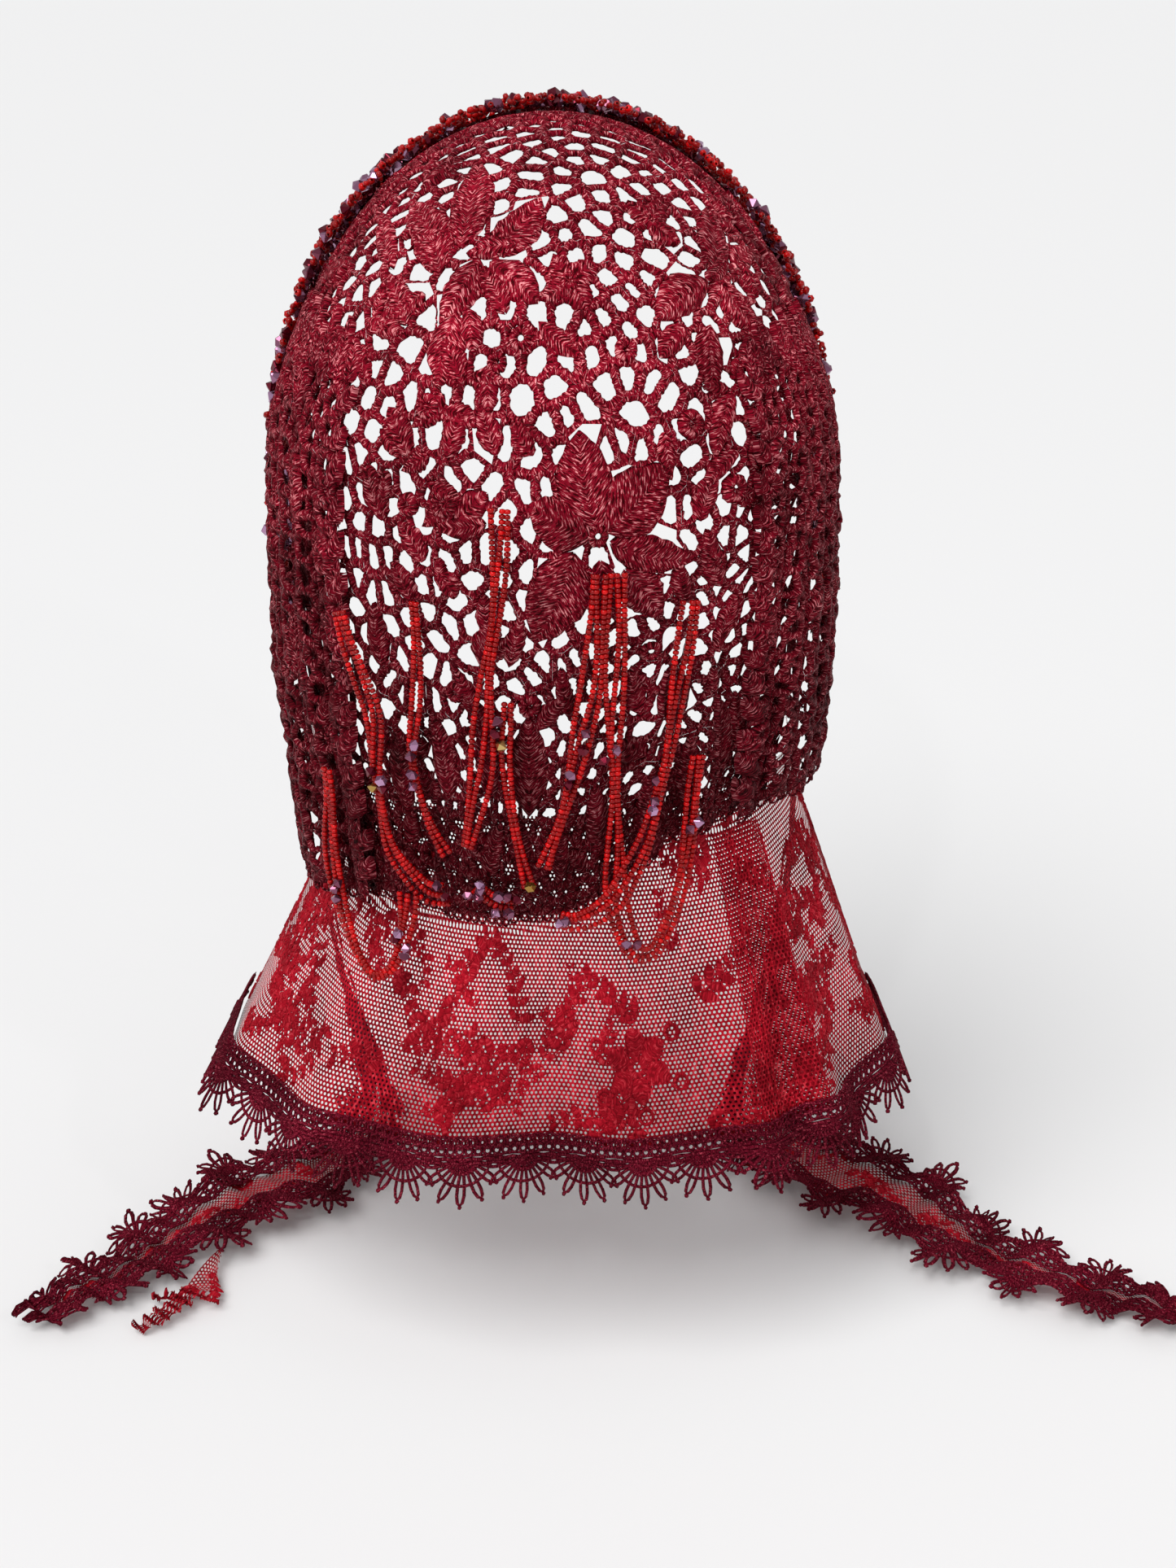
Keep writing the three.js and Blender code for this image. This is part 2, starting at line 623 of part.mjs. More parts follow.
// Bundles of bead strands: angle from the back and drop below the crown, whether over the side
// lace, and how many other bundles they cross over
const SWAGS = {
  swag_1: [
    { angle: -48.2, drop: 196, side: 0.8, over: 0 }, { angle: -47.9, drop: 206, side: 0.9, over: 0 },
    { angle: -48.4, drop: 222, side: 1.12, over: 0 }, { angle: -48.4, drop: 239, side: 1.05, over: 0 },
    { angle: -45.9, drop: 252.5, side: 0.8, over: 0 }, { angle: -40.6, drop: 261.4, side: 0.5, over: 0 },
    { angle: -36.4, drop: 265, side: 0.5, over: 0 }, { angle: -33.2, drop: 261, side: 0.5, over: 0 },
    { angle: -31.5, drop: 251.4, side: 0.5, over: 0 }, { angle: -30.2, drop: 240, side: 0.5, over: 0 },
    { angle: -30, drop: 233, side: 0.4, over: 0 },
  ],
  swag_2: [
    { angle: -40.6, drop: 136.7, side: 1, over: 0 }, { angle: -38.4, drop: 146.4, side: 1, over: 0 },
    { angle: -35.7, drop: 157.4, side: 0.9, over: 0 }, { angle: -33.8, drop: 169, side: 0.7, over: 0 },
    { angle: -33.8, drop: 188, side: 0.6, over: 0 }, { angle: -33.6, drop: 204, side: 0.5, over: 0 },
    { angle: -32.7, drop: 217.8, side: 0.3, over: 0 }, { angle: -29.8, drop: 226, side: 0.2, over: 0 },
    { angle: -25.8, drop: 232, side: 0.1, over: 0 }, { angle: -20.6, drop: 230.6, side: 0, over: 0 },
  ],
  swag_3: [
    { angle: -25.9, drop: 130, side: 0, over: 0 }, { angle: -25.8, drop: 146, side: 0, over: 0 },
    { angle: -26.2, drop: 165, side: 0, over: 0 }, { angle: -27.1, drop: 183, side: 0, over: 0 },
    { angle: -26.3, drop: 196, side: 0, over: 0 }, { angle: -24.4, drop: 208, side: 0, over: 0 },
    { angle: -20.6, drop: 217.5, side: 0, over: 0 },
  ],
  swag_4: [
    { angle: -8.8, drop: 98, side: 0, over: 0 }, { angle: -9, drop: 114, side: 0, over: 0 },
    { angle: -10, drop: 132.5, side: 0, over: 0 }, { angle: -11.6, drop: 151, side: 0, over: 0 },
    { angle: -12.4, drop: 168, side: 0, over: 0 }, { angle: -13.1, drop: 184, side: 0, over: 0 },
    { angle: -14.4, drop: 196, side: 0, over: 0 }, { angle: -16.4, drop: 212, side: 0, over: 0 },
  ],
  swag_5: [
    { angle: -8, drop: 160, side: 0, over: 0 }, { angle: -8.2, drop: 170, side: 0, over: 0 },
    { angle: -8.3, drop: 179, side: 0, over: 0 }, { angle: -7.3, drop: 199, side: 0, over: 0 },
    { angle: -6, drop: 215, side: 0, over: 0 }, { angle: -4.6, drop: 226, side: 0, over: 0 },
  ],
  swag_6: [
    { angle: -15.2, drop: 226.4, side: 0, over: 0 }, { angle: -11.4, drop: 232, side: 0, over: 0 },
    { angle: -7.2, drop: 233.5, side: 0, over: 0 },
  ],
  swag_7: [
    { angle: 9.1, drop: 118, side: 0, over: 0 }, { angle: 8.6, drop: 137.7, side: 0, over: 0 },
    { angle: 7.6, drop: 156.4, side: 0, over: 0 }, { angle: 5.8, drop: 171, side: 0, over: 0 },
    { angle: 3.9, drop: 186.7, side: 0, over: 0 }, { angle: 2.1, drop: 199.6, side: 0, over: 0 },
    { angle: 0, drop: 211, side: 0, over: 0 }, { angle: -1.6, drop: 219.5, side: 0, over: 0 },
  ],
  swag_8: [
    { angle: 12.6, drop: 118, side: 0, over: 0 }, { angle: 12.5, drop: 138, side: 0, over: 0 },
    { angle: 12.1, drop: 157, side: 0, over: 0 }, { angle: 11.9, drop: 176, side: 0, over: 0 },
    { angle: 12.5, drop: 195, side: 0, over: 0 }, { angle: 12.8, drop: 213, side: 0, over: 0 },
    { angle: 13, drop: 229, side: 0.1, over: 0 }, { angle: 14.3, drop: 241.5, side: 0.3, over: 0 },
    { angle: 16.6, drop: 249.4, side: 0.4, over: 0 }, { angle: 19.4, drop: 249.2, side: 0.4, over: 0 },
    { angle: 22.2, drop: 242, side: 0.3, over: 0 }, { angle: 25.1, drop: 231.8, side: 0.3, over: 0 },
    { angle: 27.7, drop: 221, side: 0.2, over: 0 }, { angle: 28.1, drop: 207.6, side: 0.1, over: 0 },
    { angle: 28.5, drop: 193, side: 0, over: 0 }, { angle: 29.1, drop: 181.5, side: 0, over: 0 },
  ],
  swag_9: [
    { angle: 27.2, drop: 130, side: 0, over: 0 }, { angle: 26, drop: 146, side: 0, over: 0 },
    { angle: 24.1, drop: 163, side: 0, over: 0 }, { angle: 22.3, drop: 180.6, side: 0, over: 0 },
    { angle: 20.2, drop: 195.6, side: 0, over: 0.1 }, { angle: 17.8, drop: 207.8, side: 0, over: 0.7 },
    { angle: 14.6, drop: 218.5, side: 0, over: 1.3 }, { angle: 11.8, drop: 226.6, side: 0, over: 1.4 },
    { angle: 8.5, drop: 233, side: 0, over: 0.9 }, { angle: 4.6, drop: 236.6, side: 0, over: 0.3 },
    { angle: 1.3, drop: 235.6, side: 0, over: 0.2 },
  ],
};

// Centre of a strand over the lace, or over the flap where it hangs below the hem
function swagPoint(stop) {
  const hang = (u, v) => (v < hemDrop(u) + FLAP_FREE ? bodyPoint(u, v) : flapForm(u, v));
  const sideRise = SIDE_STANDOFF + LACE_THICKNESS + 2 * SIDE_GATHER;
  const crossing = stop.over * (2 * SWAG_RADIUS + SEAT_GAP);
  const rise = SWAG_RADIUS + SWAG_SEAT + stop.side * sideRise + crossing;
  const point = hang(stop.angle, stop.drop);
  const out = vec(Math.sin(rad(stop.angle)), -Math.cos(rad(stop.angle)), 0);
  return point.addScaledVector(out, rise);
}

for (const [name, stops] of Object.entries(SWAGS)) {
  const curve = new THREE.CatmullRomCurve3(stops.map(swagPoint), false, 'centripetal');
  const count = Math.round(curve.getLength() / SWAG_STEP);
  const path = curve.getSpacedPoints(count);
  addPiece(name, ropeGeometry(path, path.map(() => SWAG_RADIUS), 8), seedBead);
}

export default group;
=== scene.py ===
# %% [markdown]
# # A turban cap in crimson lace
#
# This notebook dresses a plain model of a lace turban cap with the things that make it look
# real: embroidered lace, a beaded front edge, a net flap, looped trims and swags of glass beads.
# The plain model comes from a measured frame. It has the right size and place for every piece,
# so each look made here is laid on the same surfaces.

import math

import bpy
import numpy as np
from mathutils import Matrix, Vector
from mathutils.geometry import delaunay_2d_cdt


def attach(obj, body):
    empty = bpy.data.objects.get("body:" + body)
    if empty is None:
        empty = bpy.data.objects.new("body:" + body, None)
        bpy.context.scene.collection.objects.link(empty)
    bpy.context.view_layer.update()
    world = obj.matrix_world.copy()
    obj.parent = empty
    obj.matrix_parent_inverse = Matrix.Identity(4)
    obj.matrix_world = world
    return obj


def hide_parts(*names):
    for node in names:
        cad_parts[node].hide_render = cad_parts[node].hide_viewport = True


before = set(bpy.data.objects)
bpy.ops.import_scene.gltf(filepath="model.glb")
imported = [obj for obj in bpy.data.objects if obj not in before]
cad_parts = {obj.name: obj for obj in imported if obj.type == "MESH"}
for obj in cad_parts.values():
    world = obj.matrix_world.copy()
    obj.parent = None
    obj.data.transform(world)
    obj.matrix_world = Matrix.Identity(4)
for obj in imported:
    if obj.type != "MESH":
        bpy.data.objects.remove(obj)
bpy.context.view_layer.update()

# %% [markdown]
# ## Camera
#
# The cap was photographed from behind and a little above, from less than a metre away. The lens
# and the tilt below are worked out from three things with a known shape: the ring of the crown,
# the level hem of the flap, and the table. A camera this near makes the lower parts look
# smaller, so a longer lens from further off would not match.

# %% Set up the camera
LENS, SENSOR, TILT = 54.4, 36, 65
CAMERA_PLACE = (0.0117, -0.766, 0.124)

camera_data = bpy.data.cameras.new("camera")
camera_data.lens = LENS
camera_data.sensor_width = SENSOR
camera_data.clip_start = 0.01
camera_data.dof.use_dof = False
camera = bpy.data.objects.new("camera", camera_data)
camera.location = CAMERA_PLACE
camera.rotation_euler = (math.radians(TILT), 0, 0)
bpy.context.collection.objects.link(camera)
bpy.context.scene.camera = camera
print("camera is", round(camera.location.length, 3), "m from the crown")

# %% [markdown]
# ## Floor and light
#
# The setting is a plain pale sweep, so bright that it is nearly white. A sun that is made very
# soft lights it evenly from near to far, which lamps close to the cap can't do: they burn out
# the floor in front. The sun stands high behind the viewer's left shoulder, so the crown is
# bright and the hanging lace below it falls into shade. A pale world fills the shadows, and two
# small lamps give the beads their glints. The colours are shown with the Standard transform,
# because a filmic one greys deep reds.

# %% Make the floor
MM = 0.001
TABLE_DROP = 416
FLOOR_HALF, FLOOR_GREY = 7.0, 0.84


def new_paint(name):
    paint = bpy.data.materials.new(name)
    paint.use_nodes = True
    return paint, paint.node_tree.nodes["Principled BSDF"]


floor_corners = [(-1, -1), (1, -1), (1, 1), (-1, 1)]
floor_mesh = bpy.data.meshes.new("floor")
floor_mesh.from_pydata(
    [(x * FLOOR_HALF, y * FLOOR_HALF, -TABLE_DROP * MM) for x, y in floor_corners], [], [(0, 1, 2, 3)],
)
floor = bpy.data.objects.new("floor", floor_mesh)
bpy.context.collection.objects.link(floor)
floor_paint, shader = new_paint("pale_floor")
shader.inputs["Base Color"].default_value = (FLOOR_GREY, FLOOR_GREY, FLOOR_GREY, 1)
shader.inputs["Roughness"].default_value = 0.9
shader.inputs["Specular IOR Level"].default_value = 0.1
floor_mesh.materials.append(floor_paint)
print("floor lies", TABLE_DROP, "mm below the crown")

# %% Make the world
world = bpy.data.worlds.new("studio")
world.use_nodes = True
world.node_tree.nodes["Background"].inputs["Color"].default_value = (0.99, 0.99, 1.0, 1)
world.node_tree.nodes["Background"].inputs["Strength"].default_value = 0.5
bpy.context.scene.world = world
bpy.context.scene.view_settings.view_transform = "Standard"


# %% Place the lamps
LIT_SPOT = Vector((0, 0, -0.15))


def add_lamp(name, kind, place, size, power):
    """A sun takes its size in degrees, a round lamp in metres. Both look at the cap."""
    data = bpy.data.lights.new(name, kind)
    data.energy = power
    if kind == "SUN":
        data.angle = math.radians(size)
    else:
        data.shape, data.size = "DISK", size
    lamp = bpy.data.objects.new(name, data)
    lamp.location = place
    lamp.rotation_euler = (LIT_SPOT - Vector(place)).to_track_quat("-Z", "Y").to_euler()
    bpy.context.collection.objects.link(lamp)


add_lamp("soft_sun", "SUN", (-0.8, -1.1, 1.9), 38, 2.1)
add_lamp("glint_lamp", "AREA", (-0.25, -1.2, 0.9), 0.07, 1.6)
add_lamp("side_glint_lamp", "AREA", (0.7, -1.0, 0.6), 0.07, 0.8)

# %% [markdown]
# ## The forms under the cloth
#
# Every cloth piece of the cap follows one of a few forms: the dome of the crown, the drape
# below it, the arch of the front edge, the flared flap and the two ties. Each form is a function
# that takes a place in flat millimetres, sideways and downwards, and gives the point in space.
# The same numbers shape the frame, so a pattern that is drawn flat and laid on a form ends up
# where the plain piece is. Fitting a flat sheet by shrinkwrap would work too, but it slides at
# the folds.

# %% The drape, the hem and the folds
HOOD_HALF, HOOD_BACK, HOOD_FRONT, CROWN, HEM = 91, 97, 95, 118, 240
FOLD_RUN_IN = 90

# drop in crown heights, share of the half width, share of the back
DRAPE = np.array([
    (1, 1, 1), (1.27, 1.006, 0.99), (1.57, 1.006, 0.97), (1.78, 0.98, 0.95), (2.12, 0.945, 0.93),
    (3.39, 0.945, 0.93),
])
# angle from the back, share of the hem's drop
HEM_LINE = np.array([
    (-115, 1.025), (-70, 1.042), (-38, 0.992), (-10, 1), (6, 0.979), (24, 0.892), (50, 0.867),
    (80, 0.9), (115, 0.925),
])
# angle from the back, depth and spread
HOOD_FOLDS = [
    (-37, 3.2, 6), (-18, 2.6, 5), (3, 1.8, 6), (20, 2.8, 5), (33, 3, 5), (58, 2.2, 7), (-60, 2.2, 7),
]
FLAP_FOLDS = [(-72, 5, 8), (-46, 4, 7), (-20, 3, 9), (12, 3, 8), (38, 5, 5), (52, 6, 5), (74, 5, 8)]


def hem_drop(angle):
    return HEM * np.interp(angle, HEM_LINE[:, 0], HEM_LINE[:, 1])


def fold_depth(folds, angle):
    return sum(depth * np.exp(-(((angle - at) / spread) ** 2)) for at, depth, spread in folds)


def body_point(angle, drop, folds=1.0):
    """A point of the cap's body, from its angle round the cap and its drop below the crown."""
    a = np.radians(angle)
    dome = np.sqrt(np.clip(1 - ((CROWN - drop) / CROWN) ** 2, 0, 1))
    below = drop >= CROWN
    half = HOOD_HALF * np.where(below, np.interp(drop / CROWN, DRAPE[:, 0], DRAPE[:, 1]), dome)
    back = np.where(np.cos(a) > 0, HOOD_BACK, HOOD_FRONT)
    back = back * np.where(below, np.interp(drop / CROWN, DRAPE[:, 0], DRAPE[:, 2]), dome)
    fold = folds * fold_depth(HOOD_FOLDS, angle) * np.clip((drop - CROWN) / FOLD_RUN_IN, 0, 1)
    return np.stack([(half + fold) * np.sin(a), -(back + fold) * np.cos(a), -drop + 0 * a], -1)


def push_out(point, gather):
    """Move points away from the upright axis of the cap by the depth of its gathers."""
    level = np.hypot(point[:, 0], point[:, 1])
    return point * np.stack([1 + gather / level, 1 + gather / level, 1 + 0 * level], -1)


# %% The form of the hood
HOOD_SPAN, CROWN_SHARE, FRONT_REACH = 64, 0.62, 33
HOOD_WIDE, HOOD_LONG = 212, 330
# depth in millimetres, and how closely the gathers follow each other
WIDE_GATHER, CLOSE_GATHER = (0.9, 34), (0.6, 57)
GATHERED_TO, GATHER_FADE = 44, 8


def hood_form(x, y):
    u = x / HOOD_WIDE + 0.5
    v = np.clip(y / HOOD_LONG, 0, 1.02)
    fall = np.clip((v - CROWN_SHARE) / (1 - CROWN_SHARE), 0, 1.06)
    across = (2 * u - 1) * HOOD_SPAN * (1 - 0.2 * fall)
    w = np.radians(across)
    front = -np.degrees(np.arcsin(np.minimum(FRONT_REACH / (HOOD_FRONT * np.cos(w)), 0.95)))
    tilt = np.radians(front + (90 - front) * np.minimum(v / CROWN_SHARE, 1))
    reach = np.where(tilt > 0, HOOD_BACK, HOOD_FRONT)
    dome = np.stack([
        HOOD_HALF * np.sin(w),
        -reach * np.cos(w) * np.sin(tilt),
        -CROWN + CROWN * np.cos(w) * np.cos(tilt),
    ], -1)
    drape = body_point(across, CROWN + (hem_drop(across) - CROWN) * fall)
    gather = WIDE_GATHER[0] * (np.sin(w * WIDE_GATHER[1] + 2 * fall) - 1)
    gather += CLOSE_GATHER[0] * np.sin(w * CLOSE_GATHER[1] - fall)
    gather *= np.clip(fall * 2.5, 0, 1) * np.clip((GATHERED_TO - np.abs(across)) / GATHER_FADE, 0, 1)
    return np.where((v <= CROWN_SHARE)[:, None], dome, push_out(drape, gather))


# %% The form of a side lace
SIDE_WIDE, SIDE_LONG = 108, 176
# degrees from the back: where the lace starts, how far it runs, and how far its top slants in
SIDE_START, SIDE_RUN, SIDE_SLANT = 40, 64.8, 6
SIDE_TOP, SIDE_TOP_DIP = 62, 10
SIDE_GATHER, SIDE_GATHERS = 1.1, 14


def side_form(sign):
    def form(x, y):
        share = x / SIDE_WIDE + 0.5
        share = share if sign > 0 else 1 - share
        v = y / SIDE_LONG
        slant = SIDE_SLANT * (1 - v)
        angle = sign * (SIDE_START + slant + (SIDE_RUN - slant) * share)
        top = SIDE_TOP + SIDE_TOP_DIP * share ** 2
        point = body_point(angle, top + (hem_drop(angle) - top) * v)
        gather = SIDE_GATHER * (1 - np.cos(share * np.pi * SIDE_GATHERS + 2 * v))
        return push_out(point, gather * np.sin(np.pi * np.clip(v, 0, 0.5)))
    return form


# %% The forms of the front arch and the flap
ARCH_QUARTER, ARCH_FORWARD, ARCH_END = 135, 38, 110
FLAP_SPAN, FLAP_HEM, FLAP_WIDE, FLAP_TUCK = 97, 322, 400, 7
FLARE_SIDE, FLARE_BACK = 33, 9


def arch_form(x, y):
    """The arch runs over the crown for two quarters, and then down both sides to the hem."""
    along = np.clip(x / ARCH_QUARTER, -2, 2)
    forward = ARCH_FORWARD - y
    level = np.sqrt(1 - (forward / HOOD_FRONT) ** 2)
    side = np.sign(along)
    turn = np.abs(along)
    quarter = np.minimum(turn, 1) * np.pi / 2
    arch = np.stack([
        side * HOOD_HALF * level * np.sin(quarter), forward, -CROWN + CROWN * level * np.cos(quarter),
    ], -1)
    drop = CROWN + (hem_drop(side * ARCH_END) - CROWN) * np.maximum(turn - 1, 0)
    half = HOOD_HALF * np.interp(drop / CROWN, DRAPE[:, 0], DRAPE[:, 1])
    leg = np.stack([side * half * level, forward, -drop], -1)
    return np.where((turn <= 1)[:, None], arch, leg)


def flap_point(angle, drop):
    start = hem_drop(angle) + FLAP_TUCK
    flare = np.clip((drop - start) / (FLAP_HEM - start), 0, 2)
    a = np.radians(angle)
    base = body_point(angle, np.minimum(drop, start), 0)
    wide = FLARE_SIDE * np.sqrt(np.sin(a) ** 2 + 0.004) + FLARE_BACK * np.cos(a)
    out = flare * wide * 1.02 + fold_depth(FLAP_FOLDS, angle) * flare
    return np.stack([base[:, 0] + out * np.sin(a), base[:, 1] - out * np.cos(a) * 0.8, -drop], -1)


def flap_form(x, y):
    return flap_point(x / FLAP_WIDE * 2 * FLAP_SPAN, FLAP_HEM + y)


# %% [markdown]
# ## Drawing flat, then laying
#
# Lace, net and trims are all drawn flat first: sideways, downwards, and a height above the
# cloth. A helper then lays the drawing on a form. Sewing patterns work in the same way, and it
# keeps every band and hole at its true width.

# %% Lay a drawing on a form
def lay(form, drawing):
    x, y, height = drawing.T
    step = 0.2
    sideways = form(x + step, y) - form(x - step, y)
    downwards = form(x, y + step) - form(x, y - step)
    normal = np.cross(downwards, sideways)
    normal /= np.maximum(np.linalg.norm(normal, axis=1), 1e-9)[:, None]
    return form(x, y) + normal * height[:, None]


def gather_parts(parts):
    points, faces, threads, start = [], [], [], 0
    for some_points, some_faces, some_threads in parts:
        points.append(some_points)
        faces.append(some_faces + start)
        threads.append(some_threads)
        start += len(some_points)
    return np.concatenate(points), np.concatenate(faces), np.concatenate(threads)


# %% Make a piece of a drawing
def add_piece(name, points, faces, threads, paint, slot, nodes=(), smooth=True):
    """A mesh from points in millimetres, with its stitching as a map, given to the frame."""
    mesh = bpy.data.meshes.new(name)
    mesh.from_pydata((points * MM).tolist(), [], faces.tolist())
    corner = np.empty(len(mesh.loops), dtype=np.int32)
    mesh.loops.foreach_get("vertex_index", corner)
    layer = mesh.uv_layers.new(name="thread")
    layer.data.foreach_set("uv", threads[corner].astype(np.float32).ravel())
    mesh.polygons.foreach_set("use_smooth", np.full(len(mesh.polygons), smooth))
    mesh.materials.append(paint)
    piece = bpy.data.objects.new(name, mesh)
    bpy.context.collection.objects.link(piece)
    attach(piece, "root")
    if nodes:
        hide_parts(*nodes)
    triangles = sum(len(p.vertices) - 2 for p in mesh.polygons)
    area = sum(p.area for p in mesh.polygons)
    print(f"{name}: {triangles} triangles, {area * 1e4:.0f} cm2")
    return piece


# %% Measure the cut of a sheet
CUT_COLUMNS, CUT_ROWS = 241, 81


def declare_sheet(piece, form, low, high, strips=1):
    """Measure the cut of a sheet on its form, between two corners of its drawing."""
    x, y = np.meshgrid(
        np.linspace(low[0], high[0], CUT_COLUMNS), np.linspace(low[1], high[1], CUT_ROWS),
    )
    points = form(x.ravel(), y.ravel()).reshape(CUT_ROWS, CUT_COLUMNS, 3) * MM
    across = points[:, 1:] - points[:, :-1]
    down = points[1:] - points[:-1]
    wide = np.linalg.norm(across, axis=-1).sum(1).max()
    long = np.linalg.norm(down, axis=-1).sum(0).max() * strips
    area = np.linalg.norm(np.cross(across[:-1], down[:, :-1]), axis=-1).sum() * strips
    area = min(area, wide * long * 0.999)
    print(f"{piece.name}: cut {wide * 1e3:.0f} by {long * 1e3:.0f} mm, {area * 1e4:.0f} cm2")


# %% [markdown]
# ## Thread paints
#
# Guipure is stitched so densely that its surface is all thread: short satin strokes that run
# across each band and catch the light one by one. The pieces carry a map of their stitching,
# along and across in millimetres, so a noise that is stretched across the band draws strokes
# of the right width. The same noise paints shade in the low places between the strokes and a
# highlight on the highest ones. It also drives the bump, so the highlit strokes stand up. A photo
# texture would show the same strokes everywhere, while this never repeats.

# %% Draw the strokes and colour them
STROKE_SQUEEZE = 0.28


def stitched_strokes(nodes, links, fineness):
    place = nodes.new("ShaderNodeUVMap")
    place.uv_map = "thread"
    stretch = nodes.new("ShaderNodeMapping")
    stretch.inputs["Scale"].default_value = (fineness, fineness * STROKE_SQUEEZE, 1)
    strokes = nodes.new("ShaderNodeTexNoise")
    strokes.inputs["Scale"].default_value = 1
    strokes.inputs["Detail"].default_value = 2
    strokes.inputs["Roughness"].default_value = 0.6
    strokes.inputs["Distortion"].default_value = 0.4
    links.new(place.outputs["UV"], stretch.inputs["Vector"])
    links.new(stretch.outputs["Vector"], strokes.inputs["Vector"])
    return strokes


def stroke_colours_painted_shade_and_highlight(nodes, links, strokes, dark, middle, bright):
    """Painted shade between the strokes, the thread's own colour on most of them, and a painted highlight
    where one catches the light.
    """
    shade = nodes.new("ShaderNodeValToRGB")
    ramp = shade.color_ramp
    ramp.elements[0].position, ramp.elements[0].color = 0.40, (*dark, 1)
    ramp.elements[1].position, ramp.elements[1].color = 0.655, (*bright, 1)
    ramp.elements.new(0.49).color = (*middle, 1)
    ramp.elements.new(0.575).color = (*[c * 1.2 for c in middle], 1)
    links.new(strokes.outputs["Fac"], shade.inputs["Fac"])
    return shade


# %% [markdown]
# The dye is uneven, and shade is painted on the hanging lace, which is gathered and lies in
# several layers, so that it is darker than the stretched crown. Two things scale the colour of
# the strokes: a coarse noise in space for the uneven dye, and the height on the cap, which fades
# it to a share of itself at the foot as painted shade.

# %% Make the dye uneven and paint shade towards the foot
SHADE_FOOT_LEVEL, UNSHADED_LEVEL = -0.2, -0.06
PATCHES_TO_A_METRE = 55


def map_range(nodes, low, high, to_low, to_high):
    node = nodes.new("ShaderNodeMapRange")
    node.inputs["From Min"].default_value = low
    node.inputs["From Max"].default_value = high
    node.inputs["To Min"].default_value = to_low
    node.inputs["To Max"].default_value = to_high
    return node


def uneven_dye_and_painted_shade(nodes, links, shade_at_foot):
    here = nodes.new("ShaderNodeTexCoord")
    patches = nodes.new("ShaderNodeTexNoise")
    patches.inputs["Scale"].default_value = PATCHES_TO_A_METRE
    patches.inputs["Detail"].default_value = 2
    links.new(here.outputs["Object"], patches.inputs["Vector"])
    uneven = map_range(nodes, 0.3, 0.7, 0.6, 1.3)
    links.new(patches.outputs["Fac"], uneven.inputs["Value"])
    split = nodes.new("ShaderNodeSeparateXYZ")
    links.new(here.outputs["Object"], split.inputs["Vector"])
    # painted shade: the colour fades to a share of itself towards the foot of the cap
    depth = map_range(nodes, SHADE_FOOT_LEVEL, UNSHADED_LEVEL, shade_at_foot, 1.0)
    links.new(split.outputs["Z"], depth.inputs["Value"])
    dye_and_shade = nodes.new("ShaderNodeMath")
    dye_and_shade.operation = "MULTIPLY"
    links.new(uneven.outputs["Result"], dye_and_shade.inputs[0])
    links.new(depth.outputs["Result"], dye_and_shade.inputs[1])
    return dye_and_shade


# %% Make the thread paints
def thread_paint(name, dark, middle, bright, roughness, fineness=1.7, relief=1.0, shade_at_foot=0.45):
    paint, shader = new_paint(name)
    nodes, links = paint.node_tree.nodes, paint.node_tree.links
    strokes = stitched_strokes(nodes, links, fineness)
    shade = stroke_colours_painted_shade_and_highlight(nodes, links, strokes, dark, middle, bright)
    # uneven dye, and painted shade towards the foot
    dye = uneven_dye_and_painted_shade(nodes, links, shade_at_foot)
    tint = nodes.new("ShaderNodeVectorMath")
    tint.operation = "SCALE"
    links.new(shade.outputs["Color"], tint.inputs[0])
    links.new(dye.outputs["Value"], tint.inputs["Scale"])
    links.new(tint.outputs["Vector"], shader.inputs["Base Color"])

    gloss = map_range(nodes, 0.4, 0.7, roughness + 0.2, roughness)
    links.new(strokes.outputs["Fac"], gloss.inputs["Value"])
    links.new(gloss.outputs["Result"], shader.inputs["Roughness"])
    shader.inputs["Specular IOR Level"].default_value = 0.03

    bump = nodes.new("ShaderNodeBump")
    bump.inputs["Strength"].default_value = relief
    bump.inputs["Distance"].default_value = 0.0007
    links.new(strokes.outputs["Fac"], bump.inputs["Height"])
    links.new(bump.outputs["Normal"], shader.inputs["Normal"])
    return paint


# In each thread paint, the dark colour is painted shade between the strokes and the bright colour is a
# painted highlight.
# The lace paints fade towards the foot of the cap as painted shade; the trim and net paints keep their full
# colour.
guipure_thread = thread_paint(
    "guipure_thread", (0.05, 0.0005, 0.002), (0.27, 0.004, 0.018), (1.0, 0.36, 0.38), 0.35, shade_at_foot=0.33,
)
side_thread = thread_paint(
    "side_thread", (0.035, 0.0005, 0.002), (0.23, 0.003, 0.015), (0.95, 0.3, 0.33), 0.35,
)
trim_thread = thread_paint(
    "trim_thread", (0.03, 0.001, 0.003), (0.115, 0.003, 0.013), (0.36, 0.05, 0.075), 0.45,
    fineness=2.6, relief=0.8, shade_at_foot=1.0,
)
net_thread = thread_paint(
    "net_thread", (0.20, 0.003, 0.008), (0.32, 0.005, 0.014), (0.55, 0.04, 0.055), 0.5,
    fineness=1.5, relief=0.3, shade_at_foot=1.0,
)

# %% [markdown]
# ## Curves and cords
#
# The ties and the bead strings follow long curves that are known at a few places only. A
# Catmull-Rom curve passes through every one of them, which a Bezier curve with free handles
# does not do by itself. It is sampled finely, and the length along it is kept in millimetres,
# so that fans and beads can be spaced evenly.

